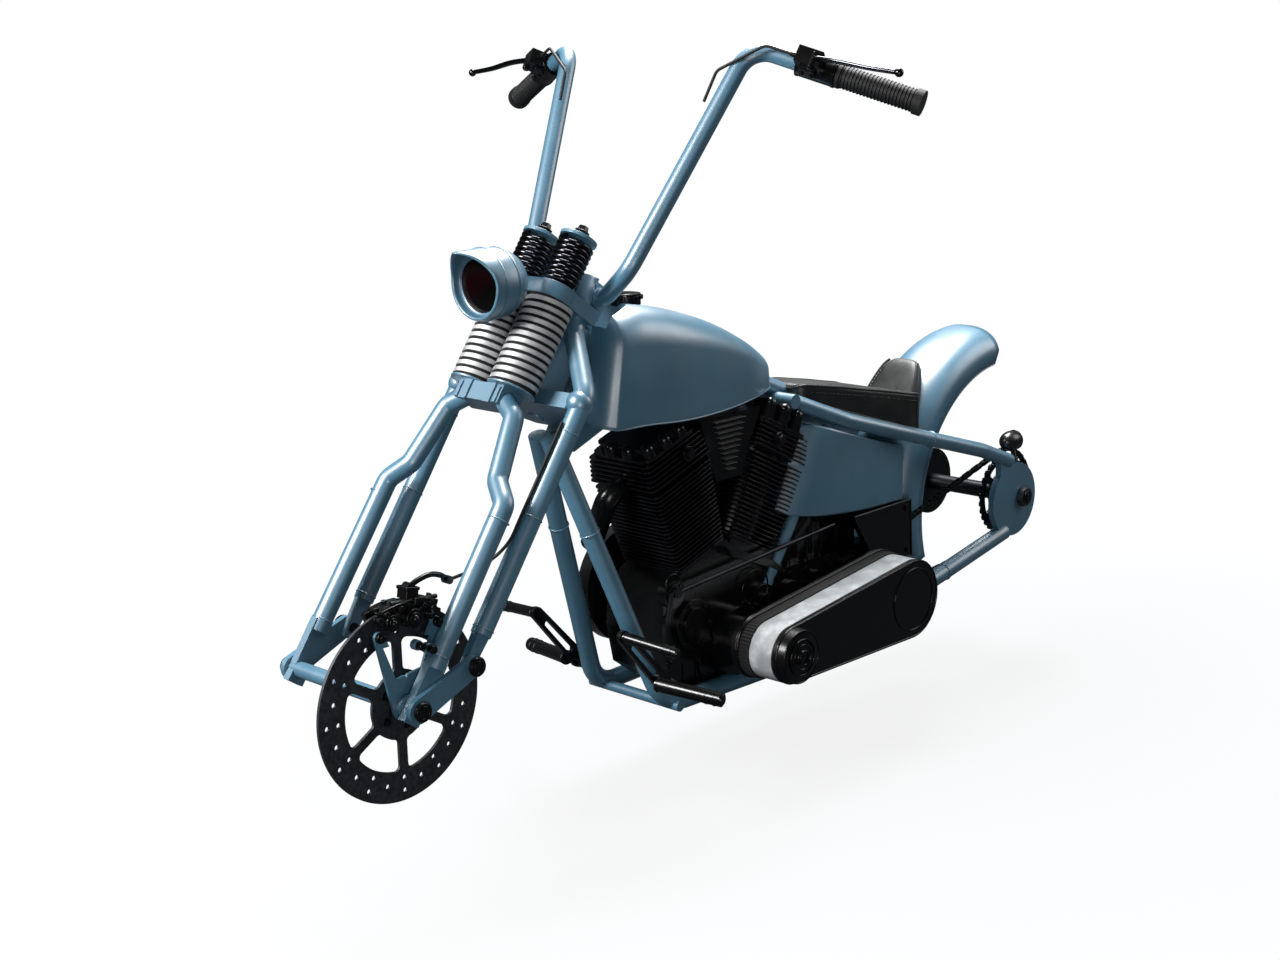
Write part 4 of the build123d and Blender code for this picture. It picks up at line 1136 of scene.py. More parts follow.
class BOBBER_OT_front_brake(Operator):
    """Build the caliper with its pistons and fittings, and the bolts of the disc"""

    bl_idname = "bobber.front_brake"
    bl_label = "Front brake"

    def execute(self, context):
        bm = bmesh.new()
        for *shape, thickness in CALIPER_BLOCKS:
            add_slab(bm, arc_outline(*shape), ACROSS * thickness)
        for angle, out, radius, high in PISTONS:
            cap = disc_at(angle, out, high)
            add_drum(bm, disc_at(angle, out, 114), cap, radius * MM, 32)
            add_drum(bm, cap, disc_at(angle, out, high + 2), radius * 0.66 * MM, 24)
            add_ball(bm, cap, radius * 0.45 * MM, 20)
        for angle, out, high in CALIPER_BOLTS:
            add_hex_bolt(bm, disc_at(angle, out, high - 8), ACROSS, 0.0046, 0.011)
        for angle, out, across in BRIDGE_BOLTS:
            outward = (disc_at(angle, 1, 0) - FRONT_AXLE).normalized()
            add_hex_bolt(bm, disc_at(angle, out - 3, across), outward, 0.0042, 0.008)
        tilt = Matrix.Rotation(math.radians(FITTING_TILT_DEG), 4, "Y")
        add_block(bm, disc_at(98, 165, 112), (0.022, 0.022, 0.017), tilt)
        add_block(bm, disc_at(98, 172, 112), (0.025, 0.024, 0.005), tilt)
        add_drum(bm, disc_at(84, 158, 122), disc_at(114, 164, 122), 0.0035, 12)
        for x, z in SLIDE_PINS:
            spot = at(x, 121.5, z)
            add_drum(bm, spot, spot + ACROSS * 0.006, 0.0078, 24)
            add_drum(bm, spot + ACROSS * 0.006, spot + ACROSS * 0.011, 0.0055, 6)
        for x, z in LINE_CLAMPS:
            spot = at(x, 138, z)
            add_drum(bm, spot - ACROSS * 0.004, spot + ACROSS * 0.008, 0.0062, 20)
        finish_piece(
            bm, "caliper_body", "fork", "black paint", ("brake_caliper",), bevel=0.001
        )
        bm = bmesh.new()
        for x, z in LINE_CLAMPS:
            spot = at(x, 124, z)
            add_drum(bm, spot, spot + ACROSS * 0.011, 0.0078, 24)
        finish_piece(bm, "brake_line_clamp", "fork", "blue paint", bevel=0.0008)
        bm = bmesh.new()
        add_path(bm, smooth_line(LINE_POINTS, 8), 0.0026, 4)
        finish_piece(bm, "brake_line", "fork", "grip rubber", ("brake_hose",), angle=60)
        bm = bmesh.new()
        add_path(bm, smooth_line(LINE_POINTS[:5], 8), 0.0042, 4)
        for spot in BANJO_PLACES:
            add_drum(bm, spot - ACROSS * 0.007, spot + ACROSS * 0.007, 0.0062, 20)
        finish_piece(bm, "brake_fittings", "fork", "black paint", angle=50)
        bm = bmesh.new()
        for x, z in bolt_circle(0, 0, 33, ROTOR_BOLTS, -35):
            add_hex_bolt(bm, at(x, DISC_Y + 2.5, z), ACROSS, 0.0052, 0.005)
        add_drum(bm, at(0, DISC_Y + 2.5, 0), at(0, DISC_Y + 6, 0), 0.021, 40)
        finish_piece(bm, "disc_bolts", "front_rotor", "dark steel", bevel=0.0005)
        return {"FINISHED"}


# Primary drive and chain

PRIMARY_REAR = (-1086.0, -80.0)
PRIMARY_REAR_R = 72.0
PRIMARY_FRONT_R = 50.0
PRIMARY_OUT_Y = 222.0
BELT_Y = 149
BELT_HALF = 0.015
COG_SPACING = 6.0
CHAIN_Y = 84
CHAIN_REAR_R = 89.5
CHAIN_FRONT_R = 46.8
LINK_HALF = 4.6
LINK_THICKNESS = 0.0012
ARC_POINTS = 60
# The drum on the primary cover: radius and distance out of each turned ring
DRUM_RINGS = ((0.0452, 0.0148), (0.031, 0.018), (0.0215, 0.0182), (0.012, 0.023))


def belt_line(first, first_r, second, second_r, spacing):
    """Points at an even spacing round two circles, given as x, z, with the tangents between them."""
    reach = math.hypot(second[0] - first[0], second[1] - first[1])
    along = math.atan2(second[1] - first[1], second[0] - first[0])
    tilt = math.acos((first_r - second_r) / reach)
    dense = []
    for centre, radius, start, end in (
        (second, second_r, along + tilt, along - tilt),
        (first, first_r, along - tilt, along + tilt - math.tau),
    ):
        for k in range(ARC_POINTS + 1):
            turn = start + (end - start) * k / ARC_POINTS
            dense.append(
                Vector((centre[0] + radius * math.cos(turn), centre[1] + radius * math.sin(turn)))
            )
    dense.append(dense[0])
    total = sum((b - a).length for a, b in zip(dense, dense[1:]))
    count = round(total / spacing)
    line = []
    target = 0.0
    walked = 0.0
    for a, b in zip(dense, dense[1:]):
        length = (b - a).length
        while length and target <= walked + length and len(line) < count:
            line.append(a + (b - a) * ((target - walked) / length))
            target += total / count
        walked += length
    return line


class BOBBER_OT_drive(Operator):
    """Build the chain's links, the belt's cogs, and the rims of the primary cover"""

    bl_idname = "bobber.drive"
    bl_label = "Chain and primary drive"

    def execute(self, context):
        rear = ((REAR_AXLE.x - FRONT_AXLE.x) / MM, 0.0)
        pins = belt_line(rear, CHAIN_REAR_R, PRIMARY_REAR, CHAIN_FRONT_R, sizes().chain_pitch / MM)
        bm = bmesh.new()
        for index, pin in enumerate(pins):
            after = pins[(index + 1) % len(pins)]
            run = (after - pin).normalized()
            side = Vector((-run.y, run.x))
            outline = []
            for end, sign in ((after, 1), (pin, -1)):
                for k in range(5):
                    turn = math.radians(-60 + 30 * k)
                    outward = run * math.cos(turn) + side * math.sin(turn)
                    outline.append(end + outward * LINK_HALF * sign)
            spread = 4.4 if index % 2 else 3.2
            for low in (CHAIN_Y - spread - 0.6, CHAIN_Y + spread - 0.6):
                add_slab(bm, [at(p.x, low, p.y) for p in outline], ACROSS * LINK_THICKNESS)
            add_drum(bm, at(pin.x, 78.8, pin.y), at(pin.x, 89.2, pin.y), 0.0026, 8)
            add_drum(bm, at(pin.x, 81.2, pin.y), at(pin.x, 86.8, pin.y), 0.0044, 10)
        finish_piece(bm, "chain_links", "frame", "dark steel", ("drive_chain",))
        bm = bmesh.new()
        for spot in belt_line(PRIMARY_REAR, PRIMARY_REAR_R, CRANK, PRIMARY_FRONT_R, COG_SPACING):
            middle = at(spot.x, BELT_Y, spot.y)
            add_drum(bm, middle - ACROSS * BELT_HALF, middle + ACROSS * BELT_HALF, 0.0034, 6)
        finish_piece(bm, "belt_cogs", "frame", "grip rubber")
        bm = bmesh.new()
        outline = belt_line(
            PRIMARY_REAR, PRIMARY_REAR_R - 1.5, CRANK, PRIMARY_FRONT_R - 1.5, COG_SPACING
        )
        add_path(bm, [at(p.x, PRIMARY_OUT_Y - 0.5, p.y) for p in outline], 0.0022, 3, cyclic=True)
        flange = belt_line(PRIMARY_REAR, PRIMARY_REAR_R + 4, CRANK, PRIMARY_FRONT_R + 4, COG_SPACING)
        for y in (136.5, 140.5):
            add_path(bm, [at(p.x, y, p.y) for p in flange], 0.0024, 3, cyclic=True)
        hub = at(CRANK[0], PRIMARY_OUT_Y, CRANK[1])
        add_drum(bm, hub, hub + ACROSS * 0.014, 0.0485, 64, 0.047)
        add_drum(bm, hub + ACROSS * 0.014, hub + ACROSS * 0.016, 0.047, 64, 0.0405)
        for radius, out in DRUM_RINGS:
            add_ring(bm, hub + ACROSS * out, ACROSS, radius, 0.0016, 64, 8)
        add_drum(bm, hub + ACROSS * 0.018, hub + ACROSS * 0.022, 0.0125, 32, 0.009)
        clutch = at(PRIMARY_REAR[0], PRIMARY_OUT_Y + 0.4, PRIMARY_REAR[1])
        add_ring(bm, clutch, ACROSS, 0.057, 0.0016, 64, 8)
        finish_piece(bm, "primary_rims", "frame", "black paint", angle=60)
        bm = bmesh.new()
        for side in SIDES:
            spot = at(rear[0], side * 130.2, 0)
            add_drum(bm, spot, spot + ACROSS * 0.0115 * side, 0.0205, 48, 0.0185)
        finish_piece(bm, "rear_washers", "frame", "disc steel", bevel=0.0008)
        bm = bmesh.new()
        for side in (1, -1):
            spot = at(rear[0], side * 134, 0)
            add_drum(bm, spot, spot + ACROSS * 0.0105 * side, 0.0135, 6)
            add_drum(bm, spot + ACROSS * 0.0105 * side, spot + ACROSS * 0.0125 * side, 0.007, 24)
        finish_piece(bm, "axle_nuts", "frame", "black steel", bevel=0.0006)
        bm = bmesh.new()
        for x, z in bolt_circle(*rear, 38, ROTOR_BOLTS, 0):
            spot = at(x, 87, z)
            add_drum(bm, spot, spot + ACROSS * 0.004, 0.0048, 6)
        finish_piece(bm, "sprocket_bolts", "rear_rotor", "black steel", bevel=0.0004)
        return {"FINISHED"}


# Fork hardware

RIGID_OFFSET = -63.0
TUBE_BEAD_R = 0.0163
# The spring plates: from and to along the fork, and the radius
SPRING_PLATES = ((764.5, 770, 0.0305), (679.5, 682, 0.0325), (502, 505, 0.0395))
RIGID_BEADS = ((150, 138), (330, 138.5), (470, 139))
SPRING_LEG_BEADS = (84, 300)
PIVOTS = ((0, 0), (-105, 40))


class BOBBER_OT_fork_hardware(Operator):
    """Add the spring caps, nuts, seams and clamps of the fork"""

    bl_idname = "bobber.fork_hardware"
    bl_label = "Fork hardware"

    def execute(self, context):
        bm = bmesh.new()
        for y in SPRING_SIDES:
            add_drum(bm, spring_at(502.3, y), spring_at(780, y), 0.009, 24)
            add_drum(bm, spring_at(770, y), spring_at(781, y), 0.0135, 6)
            add_drum(bm, spring_at(781, y), spring_at(790, y), 0.0105, 6, 0.008)
            for s in (656.5, 652.0):
                add_ring(bm, spring_at(s, y), FORK_UP, 0.034, 0.0016, 48, 6)
        finish_piece(bm, "spring_nuts", "fork", "black paint", ("spring_rods",), bevel=0.0008)
        bm = bmesh.new()
        for y in SPRING_SIDES:
            for low, high, radius in SPRING_PLATES:
                add_drum(bm, spring_at(low, y), spring_at(high, y), radius, 48)
        for side in SIDES:
            for s, y in RIGID_BEADS:
                add_ring(bm, fork_at(s, RIGID_OFFSET, side * y), FORK_UP, TUBE_BEAD_R, 0.0011, 40, 6)
            for s in SPRING_LEG_BEADS:
                add_ring(bm, fork_at(s, -5, side * 137.5), FORK_UP, TUBE_BEAD_R, 0.0011, 40, 6)
            add_ball(bm, fork_at(520, RIGID_OFFSET + 2, side * 136), 0.0205, 28)
            add_block(bm, fork_at(487, 16, side * 27), (0.016, 0.007, 0.034), look_along(FORK_UP))
            add_block(bm, fork_at(485, 16, side * 43), (0.007, 0.006, 0.026), look_along(FORK_UP))
            for o in (-118, -84):
                add_hex_bolt(bm, fork_at(732, o, side * 32), FORK_UP, 0.0055, 0.008)
            for k in range(6):
                low = fork_at(690 + 6.5 * k, -82, side * 32)
                add_block(bm, low, (0.004, 0.02, 0.0034), look_along(FORK_UP))
            add_drum(bm, fork_at(712, -100, side * 20), fork_at(712, -100, side * 44), 0.018, 32)
        finish_piece(bm, "fork_fittings", "fork", "blue paint", bevel=0.0007, angle=50)
        bm = bmesh.new()
        for side in SIDES:
            for x, z in PIVOTS:
                outer = at(x, side * 161, z)
                add_drum(bm, outer, outer + ACROSS * side * 0.003, 0.0155, 32, 0.0135)
                add_ring(bm, outer + ACROSS * side * 0.003, ACROSS, 0.009, 0.001, 32, 6)
        finish_piece(bm, "pivot_trim", "fork", "black paint", bevel=0.0006)
        return {"FINISHED"}


# Controls

BAR_END = at(-787.0, 444.0, 815.5)
BAR_CORNER = at(-684.0, 199.5, 903.0)
GRIP_RUN = (BAR_END - BAR_CORNER).normalized()
BAR_LENGTH = (BAR_END - BAR_CORNER).length
LEVER_SIDE = Vector((0.785, 0.474, 0.397)).normalized()
GRIP_RISE = GRIP_RUN.cross(LEVER_SIDE).normalized()
# The ribs start this far along the grip, and take its length less the second value
RIB_START = 150
RIB_INSET = 160
RIB_R = 0.0172
CLAMPS = (84, 143)
# The lever's blade: places along the grip and out from it, and its height
LEVER_LINE = ((112, 40), (150, 60), (205, 78), (250, 98))
LEVER_HALF = 0.0036
LEVER_TIP = (256, 100)


def grip_at(along, out=0.0, lift=0.0):
    """A point along the left grip in millimetres, out towards the lever and up."""
    return BAR_CORNER + GRIP_RUN * along * MM + LEVER_SIDE * out * MM + GRIP_RISE * lift * MM


class BOBBER_OT_controls(Operator):
    """Build the ribbed grips, the levers and the clamps of the controls"""

    bl_idname = "bobber.controls"
    bl_label = "Bar controls"

    def execute(self, context):
        length = BAR_LENGTH / MM
        bm = bmesh.new()
        count = sizes().grip_ribs
        for step in range(count):
            along = RIB_START + (length - RIB_INSET) * step / (count - 1)
            add_ring(bm, grip_at(along), GRIP_RUN, RIB_R, 0.0011, 32, 6)
        add_drum(bm, grip_at(147), grip_at(153), 0.0195, 32)
        mirror_all(bm)
        finish_piece(bm, "grip_ribs", "fork", "grip rubber", angle=60)
        bm = bmesh.new()
        line = smooth_line([grip_at(*place) for place in LEVER_LINE], 6)
        rings = []
        for index, point in enumerate(line):
            ahead = line[min(index + 1, len(line) - 1)] - line[max(index - 1, 0)]
            wide = ahead.normalized().cross(GRIP_RISE).normalized()
            share = index / (len(line) - 1)
            rings.append((point, wide * (0.0062 - 0.002 * share), GRIP_RISE * LEVER_HALF, 2.6))
        add_hull(bm, rings, 12)
        add_ball(bm, grip_at(*LEVER_TIP), 0.0068, 20)
        mirror_all(bm)
        finish_piece(bm, "lever_blades", "fork", "black steel", ("brake_levers",), angle=60)
        bm = bmesh.new()
        for along in CLAMPS:
            add_drum(bm, grip_at(along - 2), grip_at(along + 2), 0.0208, 32)
        add_drum(bm, grip_at(112, 40, -9), grip_at(112, 40, 15), 0.0062, 20)
        add_hex_bolt(bm, grip_at(112, 40, 15), GRIP_RISE, 0.005, 0.004)
        add_block(bm, grip_at(104, 14, 15), (0.026, 0.03, 0.008), look_along(GRIP_RISE, GRIP_RUN))
        for along in (96, 112):
            add_hex_bolt(bm, grip_at(along, 14, 19), GRIP_RISE, 0.0032, 0.003)
        add_drum(bm, grip_at(84, 28), grip_at(72, 28), 0.0048, 16, 0.0035)
        mirror_all(bm)
        finish_piece(bm, "control_trim", "fork", "black paint", bevel=0.0008)
        return {"FINISHED"}


# Engine hardware

# Round covers on the left side: x, z, radius, near and far y
CASE_COVERS = (
    (-664, -52, 44, 66, 76), (-664, -52, 30, 76, 80), (-700, -128, 26, 66, 74), (-612, 14, 19, 79, 82),
    (-840, -60, 38, 66, 78), (-840, -60, 22, 78, 84),
)
COVER_BOLTS = 6
CASE_BOLTS = (
    (-606, -110), (-640, -158), (-700, -160), (-800, -158), (-868, -150), (-874, -90), (-874, -20),
    (-600, -30),
)
CASE_RIBS = (-640, -672, -704, -790, -822)
SEAM_OUTLINE = (
    (-733, 72), (-748, 66), (-858, 19), (-899, -12), (-906, -10), (-903, -20), (-860, 4), (-750, 50),
)
BREATHER_OUTLINE = ((-600, 26), (-590, 22), (-576, -26), (-588, -30))
# Turrets on the gearbox: x, radius, foot and top
TURRETS = ((-940, 17, -14, 44), (-985, 21, -14, 36), (-1030, 18, -14, 50), (-905, 12, -14, 30))
GEARBOX_RIBS = (-925, -965, -1005, -1045, -1085, -1125)
INTAKE_FINS = 10
RIGHT_COVER = (-668, -8)
RIGHT_BOLTS = 8
OIL_HOSE = ((-884, 40, 10), (-905, 62, 22), (-935, 72, 40), (-968, 78, 72))
GUARD_EDGE = ((-1066, 57), (-1236, 57), (-1240, -52), (-1140, -52), (-1112, -20), (-1066, 57))
GUARD_BOLTS = ((-1222, 44), (-1226, -38), (-1150, -40))
GEARBOX_COVERS = ((-930, -80, 42), (-1000, -60, 26))
GEARBOX_BOLTS = ((-900, -30), (-900, -130), (-980, -30), (-1040, -30), (-1040, -130), (-980, -135))


class BOBBER_OT_engine_hardware(Operator):
    """Add the covers, ribs, bolts, tubes and pushrod covers of the engine"""

    bl_idname = "bobber.engine_hardware"
    bl_label = "Engine hardware"

    def execute(self, context):
        bm = bmesh.new()
        for x, z, radius, low, high in CASE_COVERS:
            add_drum(bm, at(x, low, z), at(x, high, z), radius * MM, 48)
        for x, z in bolt_circle(*CASE_COVERS[0][:2], 37, COVER_BOLTS, 10):
            add_hex_bolt(bm, at(x, 76, z), ACROSS, 0.0042, 0.004)
        for x, z in CASE_BOLTS:
            add_drum(bm, at(x, 64, z), at(x, 72, z), 0.008, 20)
            add_hex_bolt(bm, at(x, 72, z), ACROSS, 0.0048, 0.005)
        for x in CASE_RIBS:
            add_block(bm, at(x, 66, -140), (0.004, 0.008, 0.05))
        add_ring(bm, at(-818, 78, -24), ACROSS, 0.034, 0.0014, 56, 8)
        add_ring(bm, at(-605, 83, 33), ACROSS, 0.0185, 0.0014, 44, 8)
        add_slab(bm, [at(x, 84, z) for x, z in SEAM_OUTLINE], ACROSS * 0.003)
        add_slab(bm, [at(x, 86, z) for x, z in BREATHER_OUTLINE], ACROSS * 0.004)
        for x, half, low, high in TURRETS:
            add_drum(bm, at(x, 34, low), at(x, 34, high), half * MM, 40)
            add_drum(bm, at(x, 34, high), at(x, 34, high + 5), half * 0.7 * MM, 40)
        add_block(bm, at(-1020, -4, 24), (0.24, 0.1, 0.08))
        for x in GEARBOX_RIBS:
            add_block(bm, at(x, 44, 30), (0.008, 0.012, 0.07))
        for lean, *_ in BANKS:
            for forward in (-50, 50):
                for across in (-58, 58):
                    spot = bank_at(lean, forward, across, DECK + 6)
                    add_hex_bolt(bm, spot, bank_up(lean), 0.0055, 0.005)
            for forward in (-16, 16):
                low = bank_at(lean, forward, -84, 96)
                high = bank_at(lean, forward * 0.7, -80, 352)
                add_drum(bm, low, high, 0.0085, 24)
                for share in (0.04, 0.45, 0.9):
                    spot = low + (high - low) * share
                    add_drum(bm, spot, spot + (high - low).normalized() * 0.012, 0.0115, 24)
        for k in range(INTAKE_FINS):
            z = 196 + 9.5 * k
            half = 11 + 3.1 * k
            add_block(bm, at(-774, 63, z), (2 * half * MM, 0.01, 0.0032))
        for x, z in bolt_circle(*RIGHT_COVER, 92, RIGHT_BOLTS, 20):
            add_hex_bolt(bm, at(x, -106, z), -ACROSS, 0.0048, 0.005)
        x, z = RIGHT_COVER
        add_drum(bm, at(x, -106, z), at(x, -116, z), 0.07, 56, 0.062)
        add_ring(bm, at(x, -116, z), ACROSS, 0.05, 0.002, 56, 8)
        finish_piece(bm, "engine_details", "frame", "engine black", bevel=0.0009)
        bm = bmesh.new()
        add_path(bm, smooth_line([at(*place) for place in OIL_HOSE], 8), 0.0055, 4)
        finish_piece(bm, "engine_hoses", "frame", "grip rubber", angle=60)
        bm = bmesh.new()
        add_path(bm, [at(x, 104, z) for x, z in GUARD_EDGE], 0.0022, 3)
        for x, z in GUARD_BOLTS:
            add_hex_bolt(bm, at(x, 104, z), ACROSS, 0.005, 0.004)
        for x, z, radius in GEARBOX_COVERS:
            add_drum(bm, at(x, 56, z), at(x, 68, z), radius * MM, 40)
        for x, z in GEARBOX_BOLTS:
            add_hex_bolt(bm, at(x, 60, z), ACROSS, 0.005, 0.006)
        finish_piece(bm, "gearbox_details", "frame", "engine black", bevel=0.0008)
        return {"FINISHED"}


# Bent tubes

# Corners of the left half of the handlebar and of the left lower tube, and the radii of their bends
HANDLEBAR = [(-787.0, 444.0, 815.5), (-684.0, 199.5, 903.0), (-490.0, 112.0, 570.0)]
HANDLEBAR_BENDS = [0.045, 0.05, 0.03, 0.03, 0.05, 0.045]
HANDLEBAR_R = 0.014
LOWER_TUBE = [
    (-401.6, 12.9, 310.9), (-576.0, 81.0, -172.0), (-1020.0, 100.0, -172.0), (-1520.0, 124.0, -62.0),
]
LOWER_TUBE_BENDS = [0.07, 0.12]
LOWER_TUBE_R = 0.016
# The lug under the steering head: places along the fork and forward of it
HEAD_LUG = [(494, -151), (494, -205), (472, -200), (462, -180), (474, -152)]
LUG_HALF = 9
LUG_THICKNESS = 0.018


class BOBBER_OT_tubes(Operator):
    """Bend the handlebar and the lower frame tubes"""

    bl_idname = "bobber.tubes"
    bl_label = "Bent tubes"

    def execute(self, context):
        bm = bmesh.new()
        left = [at(x, y, z) for x, y, z in HANDLEBAR] + [fork_at(716, -100, 52)]
        right = [at(x, -y, z) for x, y, z in HANDLEBAR] + [fork_at(716, -100, -52)]
        add_path(bm, bent_line(left + right[::-1], HANDLEBAR_BENDS), HANDLEBAR_R, 14)
        finish_piece(bm, "bar_tube", "fork", "blue paint", ("handlebar",), angle=60)
        bm = bmesh.new()
        for side in SIDES:
            points = [at(x, side * y, z) for x, y, z in LOWER_TUBE]
            add_path(bm, bent_line(points, LOWER_TUBE_BENDS), LOWER_TUBE_R, 14)
        add_block(bm, at(-418, 0, 268), (0.024, 0.034, 0.024))
        outline = [fork_at(up, ahead, -LUG_HALF) for up, ahead in HEAD_LUG]
        add_slab(bm, outline, ACROSS * LUG_THICKNESS)
        finish_piece(
            bm, "lower_frame_tubes", "frame", "blue paint", ("lower_tubes",), angle=60
        )
        return {"FINISHED"}


# Frame trim

# Weld beads: a tube's two ends on the left side, the share along it and the radius
TUBE_WELDS = (
    ((-412, 17, 282), (-576, 81, -172), 0.3, 16.4),
    ((-1020, 100, -172), (-1520, 124, -62), 0.62, 16.4),
    ((-1216, 110, 187), (-1440, 124, 117.5), 0.3, 14.4),
)
HEAD_WELDS = (541, 661)
CAP_PLACE = at(-594, 0, 506)
CAP_R = 0.0285
CAP_HEIGHT = 0.006
CAP_RIBS = 24
# Foot pegs: the two ends on the left side and the radius
PEGS = (((-536, 106, -117), (-562, 226, -124), 12), ((-464, 106, -18), (-480, 206, -28), 9))
TAIL_LAMP = at(-1560, 112, 114)


def both_ends(side, start, end):
    """Two places given for the left side, on the side asked for."""
    return at(start[0], side * start[1], start[2]), at(end[0], side * end[1], end[2])


class BOBBER_OT_frame_trim(Operator):
    """Add the weld beads, caps, peg ends and lamp rim"""

    bl_idname = "bobber.frame_trim"
    bl_label = "Frame trim"

    def execute(self, context):
        bm = bmesh.new()
        for side in SIDES:
            for start, end, share, radius in TUBE_WELDS:
                a, b = both_ends(side, start, end)
                add_ring(bm, a.lerp(b, share), b - a, radius * MM, 0.0013, 36, 6)
        for s in HEAD_WELDS:
            add_ring(bm, fork_at(s, STEM_OFFSET, 0), FORK_UP, 0.0268, 0.0022, 44, 8)
        finish_piece(bm, "weld_beads", "frame", "blue paint", angle=60)
        bm = bmesh.new()
        top = CAP_PLACE + UPWARDS * CAP_HEIGHT
        add_drum(bm, CAP_PLACE, top, CAP_R, 48)
        for k in range(CAP_RIBS):
            turn = math.tau * k / CAP_RIBS
            x, y = math.cos(turn) * CAP_R, math.sin(turn) * CAP_R
            add_drum(bm, CAP_PLACE + Vector((x, y, 0)), CAP_PLACE + Vector((x, y, CAP_HEIGHT)), 0.0016, 6)
        add_drum(bm, top, CAP_PLACE + UPWARDS * 0.009, 0.02, 48, 0.016)
        for side in SIDES:
            for start, end, radius in PEGS:
                a, b = both_ends(side, start, end)
                run = (b - a).normalized()
                for share in (0.03, 0.78, 0.9):
                    add_ring(bm, a.lerp(b, share), run, radius * MM, 0.0012, 32, 6)
                add_drum(bm, b - run * 0.001, b + run * 0.0022, (radius - 1.5) * MM, 28, (radius - 3.5) * MM)
            add_hex_bolt(bm, at(-556, side * 106, -122), ACROSS * side, 0.007, 0.005)
        add_ring(bm, TAIL_LAMP + Vector((-0.012, 0, 0)), FORWARDS, 0.0186, 0.0014, 40, 8)
        finish_piece(bm, "black_trim", "frame", "black paint", angle=50)
        return {"FINISHED"}


# Stage

CAMERA_PLACE = (1633.44, 2198.86, 952.98)
CAMERA_RIGHT = Vector((-0.69384731, 0.71961547, -0.02700888))
CAMERA_DOWN = Vector((0.18630979, 0.14315669, -0.97200557))
CAMERA_AHEAD = Vector((-0.69560374, -0.67945547, -0.2334003))
LENS_MM = 54.34
SENSOR_MM = 36.0
CLIP_END = 60.0
STAGE_MIDDLE = at(-780, 0, 250)
FLOOR_CENTRE = at(-780, 0, -330)
FLOOR_HALF = 14.0
FLOOR_COLOUR = (0.03, 0.032, 0.035, 1.0)
# The floor's glow near the part and far from it, and the distances of both
GLOW_NEAR = (0.6, 0.86)
GLOW_FAR = (2.6, 1.0)
SURROUND_LIGHT = (0.9, 0.95, 1.0, 1.0)
SURROUND_STRENGTH = 0.07
# Each light's place from the middle, its width and height, and its share of the key power
LIGHTS = (
    ("key", (3.1, -0.9, 1.9), (1.1, 1.1), 0.86),
    ("top", (-1.1, -0.7, 2.9), (1.4, 2.0), 1.18),
    ("fill", (2.4, 2.4, 0.1), (0.8, 1.2), 0.1),
    ("rear", (-2.6, 1.8, 1.6), (1.8, 1.8), 0.14),
)


def add_area_light(name, place, aim, size, power):
    """A soft rectangular light that looks at a point."""
    light = bpy.data.lights.new(name, "AREA")
    light.shape = "RECTANGLE"
    light.size = size[0]
    light.size_y = size[1]
    light.energy = power
    holder = link_object(name, light)
    holder.location = place
    holder.rotation_euler = (aim - place).to_track_quat("-Z", "Y").to_euler()


def floor_paper():
    """Pale paper that the camera sees as near white, with the object's soft shadow on it."""
    material = bpy.data.materials.new("floor paper")
    material.use_nodes = True
    nodes = material.node_tree.nodes
    links = material.node_tree.links
    shader = nodes["Principled BSDF"]
    shader.inputs["Base Color"].default_value = FLOOR_COLOUR
    shader.inputs["Roughness"].default_value = 0.9
    shader.inputs["Specular IOR Level"].default_value = 0.0
    glow = nodes.new("ShaderNodeEmission")
    distance = nodes.new("ShaderNodeVectorMath")
    distance.operation = "LENGTH"
    links.new(nodes.new("ShaderNodeTexCoord").outputs["Object"], distance.inputs[0])
    brighter = nodes.new("ShaderNodeMapRange")
    for end, (reach, strength) in (("Min", GLOW_NEAR), ("Max", GLOW_FAR)):
        brighter.inputs["From " + end].default_value = reach
        brighter.inputs["To " + end].default_value = strength
    links.new(distance.outputs["Value"], brighter.inputs["Value"])
    links.new(brighter.outputs["Result"], glow.inputs["Strength"])
    seen = nodes.new("ShaderNodeAddShader")
    paths = nodes.new("ShaderNodeLightPath")
    mix = nodes.new("ShaderNodeMixShader")
    links.new(shader.outputs["BSDF"], seen.inputs[0])
    links.new(glow.outputs["Emission"], seen.inputs[1])
    links.new(paths.outputs["Is Camera Ray"], mix.inputs["Fac"])
    links.new(shader.outputs["BSDF"], mix.inputs[1])
    links.new(seen.outputs["Shader"], mix.inputs[2])
    links.new(mix.outputs["Shader"], nodes["Material Output"].inputs["Surface"])
    return material


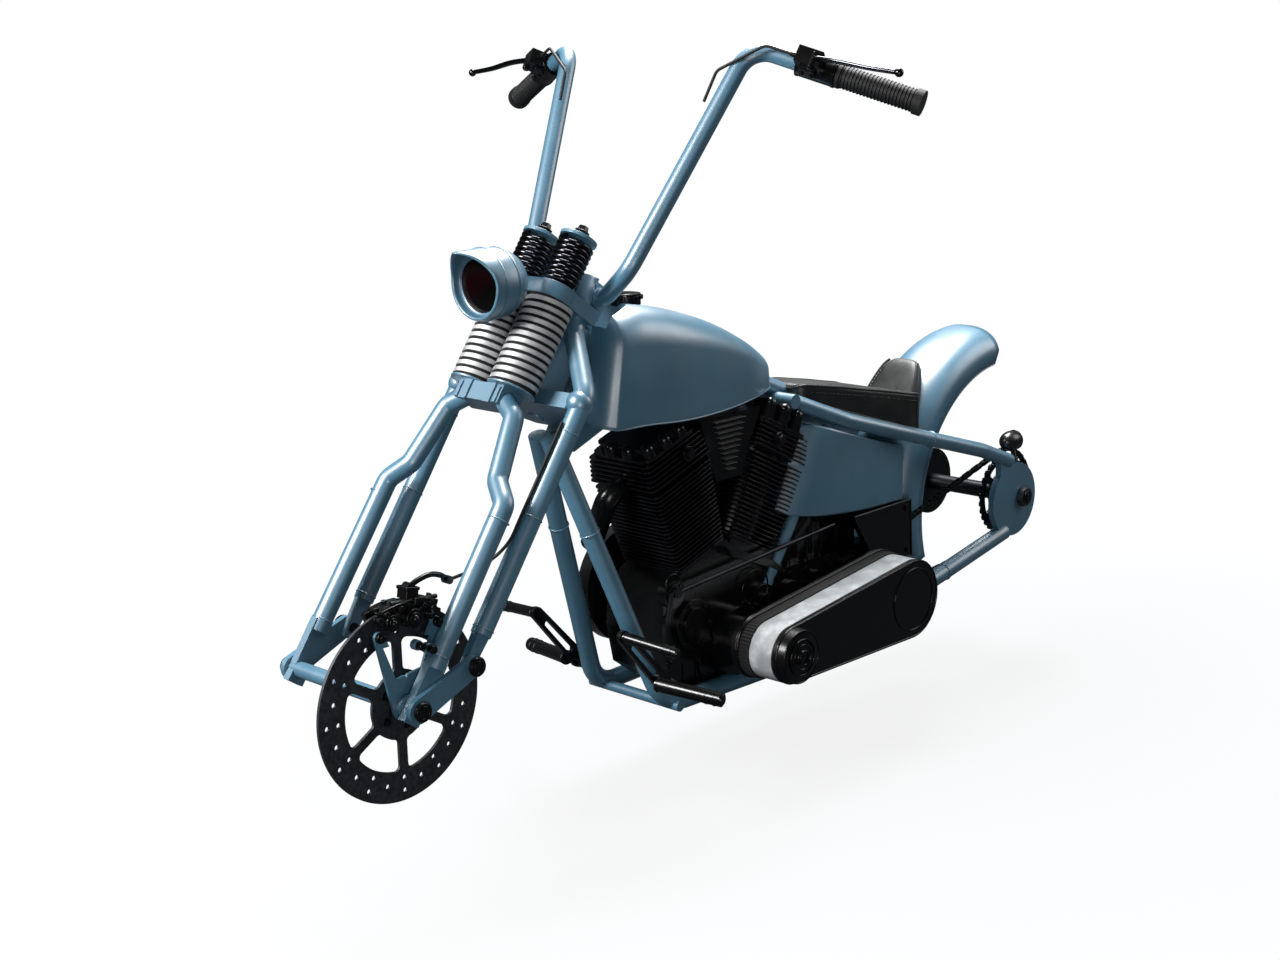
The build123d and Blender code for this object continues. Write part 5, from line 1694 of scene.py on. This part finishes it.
class BOBBER_OT_stage(Operator):
    """Set up the floor, the white surround, the soft lights and the camera"""

    bl_idname = "bobber.stage"
    bl_label = "Studio"

    def execute(self, context):
        scene = context.scene
        scene.view_settings.view_transform = "Standard"
        bm = bmesh.new()
        bmesh.ops.create_grid(
            bm, x_segments=1, y_segments=1, size=FLOOR_HALF, matrix=Matrix.Translation(FLOOR_CENTRE)
        )
        mesh = bpy.data.meshes.new("floor")
        bm.to_mesh(mesh)
        bm.free()
        floor = link_object("floor", mesh)
        mesh.materials.append(floor_paper())
        world = bpy.data.worlds.new("surround")
        world.use_nodes = True
        nodes = world.node_tree.nodes
        links = world.node_tree.links
        soft = nodes["Background"]
        soft.inputs["Color"].default_value = SURROUND_LIGHT
        soft.inputs["Strength"].default_value = SURROUND_STRENGTH
        plain = nodes.new("ShaderNodeBackground")
        plain.inputs["Color"].default_value = (1.0, 1.0, 1.0, 1.0)
        paths = nodes.new("ShaderNodeLightPath")
        mix = nodes.new("ShaderNodeMixShader")
        links.new(paths.outputs["Is Camera Ray"], mix.inputs["Fac"])
        links.new(soft.outputs["Background"], mix.inputs[1])
        links.new(plain.outputs["Background"], mix.inputs[2])
        links.new(mix.outputs["Shader"], nodes["World Output"].inputs["Surface"])
        scene.world = world
        for name, place, size, share in LIGHTS:
            power = sizes().key_power * share
            add_area_light(name, STAGE_MIDDLE + Vector(place), STAGE_MIDDLE, size, power)
        camera = bpy.data.cameras.new("camera")
        camera.lens = LENS_MM
        camera.sensor_width = SENSOR_MM
        camera.clip_end = CLIP_END
        holder = link_object("camera", camera)
        turn = Matrix((CAMERA_RIGHT, -CAMERA_DOWN, -CAMERA_AHEAD)).transposed().to_4x4()
        holder.matrix_world = Matrix.Translation(at(*CAMERA_PLACE)) @ turn
        scene.camera = holder
        return {"FINISHED"}


CLASSES = (
    BobberSizes,
    BOBBER_OT_frame_finish,
    BOBBER_OT_cylinders,
    BOBBER_OT_springs,
    BOBBER_OT_tank,
    BOBBER_OT_seat,
    BOBBER_OT_fender,
    BOBBER_OT_headlight,
    BOBBER_OT_front_brake,
    BOBBER_OT_drive,
    BOBBER_OT_fork_hardware,
    BOBBER_OT_controls,
    BOBBER_OT_engine_hardware,
    BOBBER_OT_tubes,
    BOBBER_OT_frame_trim,
    BOBBER_OT_stage,
)
STEPS = [operator for operator in CLASSES if issubclass(operator, Operator)]


class BOBBER_PT_panel(Panel):
    """The sidebar panel with every step and size"""

    bl_idname = "BOBBER_PT_panel"
    bl_label = "Bobber Motorcycle"
    bl_space_type = "VIEW_3D"
    bl_region_type = "UI"
    bl_category = "Bobber"

    def draw(self, context):
        for name in BobberSizes.__annotations__:
            self.layout.prop(context.scene.bobber_sizes, name)
        for step in STEPS:
            self.layout.operator(step.bl_idname)


def register():
    for item in (*CLASSES, BOBBER_PT_panel):
        bpy.utils.register_class(item)
    bpy.types.Scene.bobber_sizes = PointerProperty(type=BobberSizes)


def unregister():
    del bpy.types.Scene.bobber_sizes
    for item in reversed((*CLASSES, BOBBER_PT_panel)):
        bpy.utils.unregister_class(item)


def main():
    """Runs every step."""
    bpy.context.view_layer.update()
    register()
    for step in STEPS:
        group, name = step.bl_idname.split(".")
        getattr(getattr(bpy.ops, group), name)()


if __name__ == "__main__":
    main()
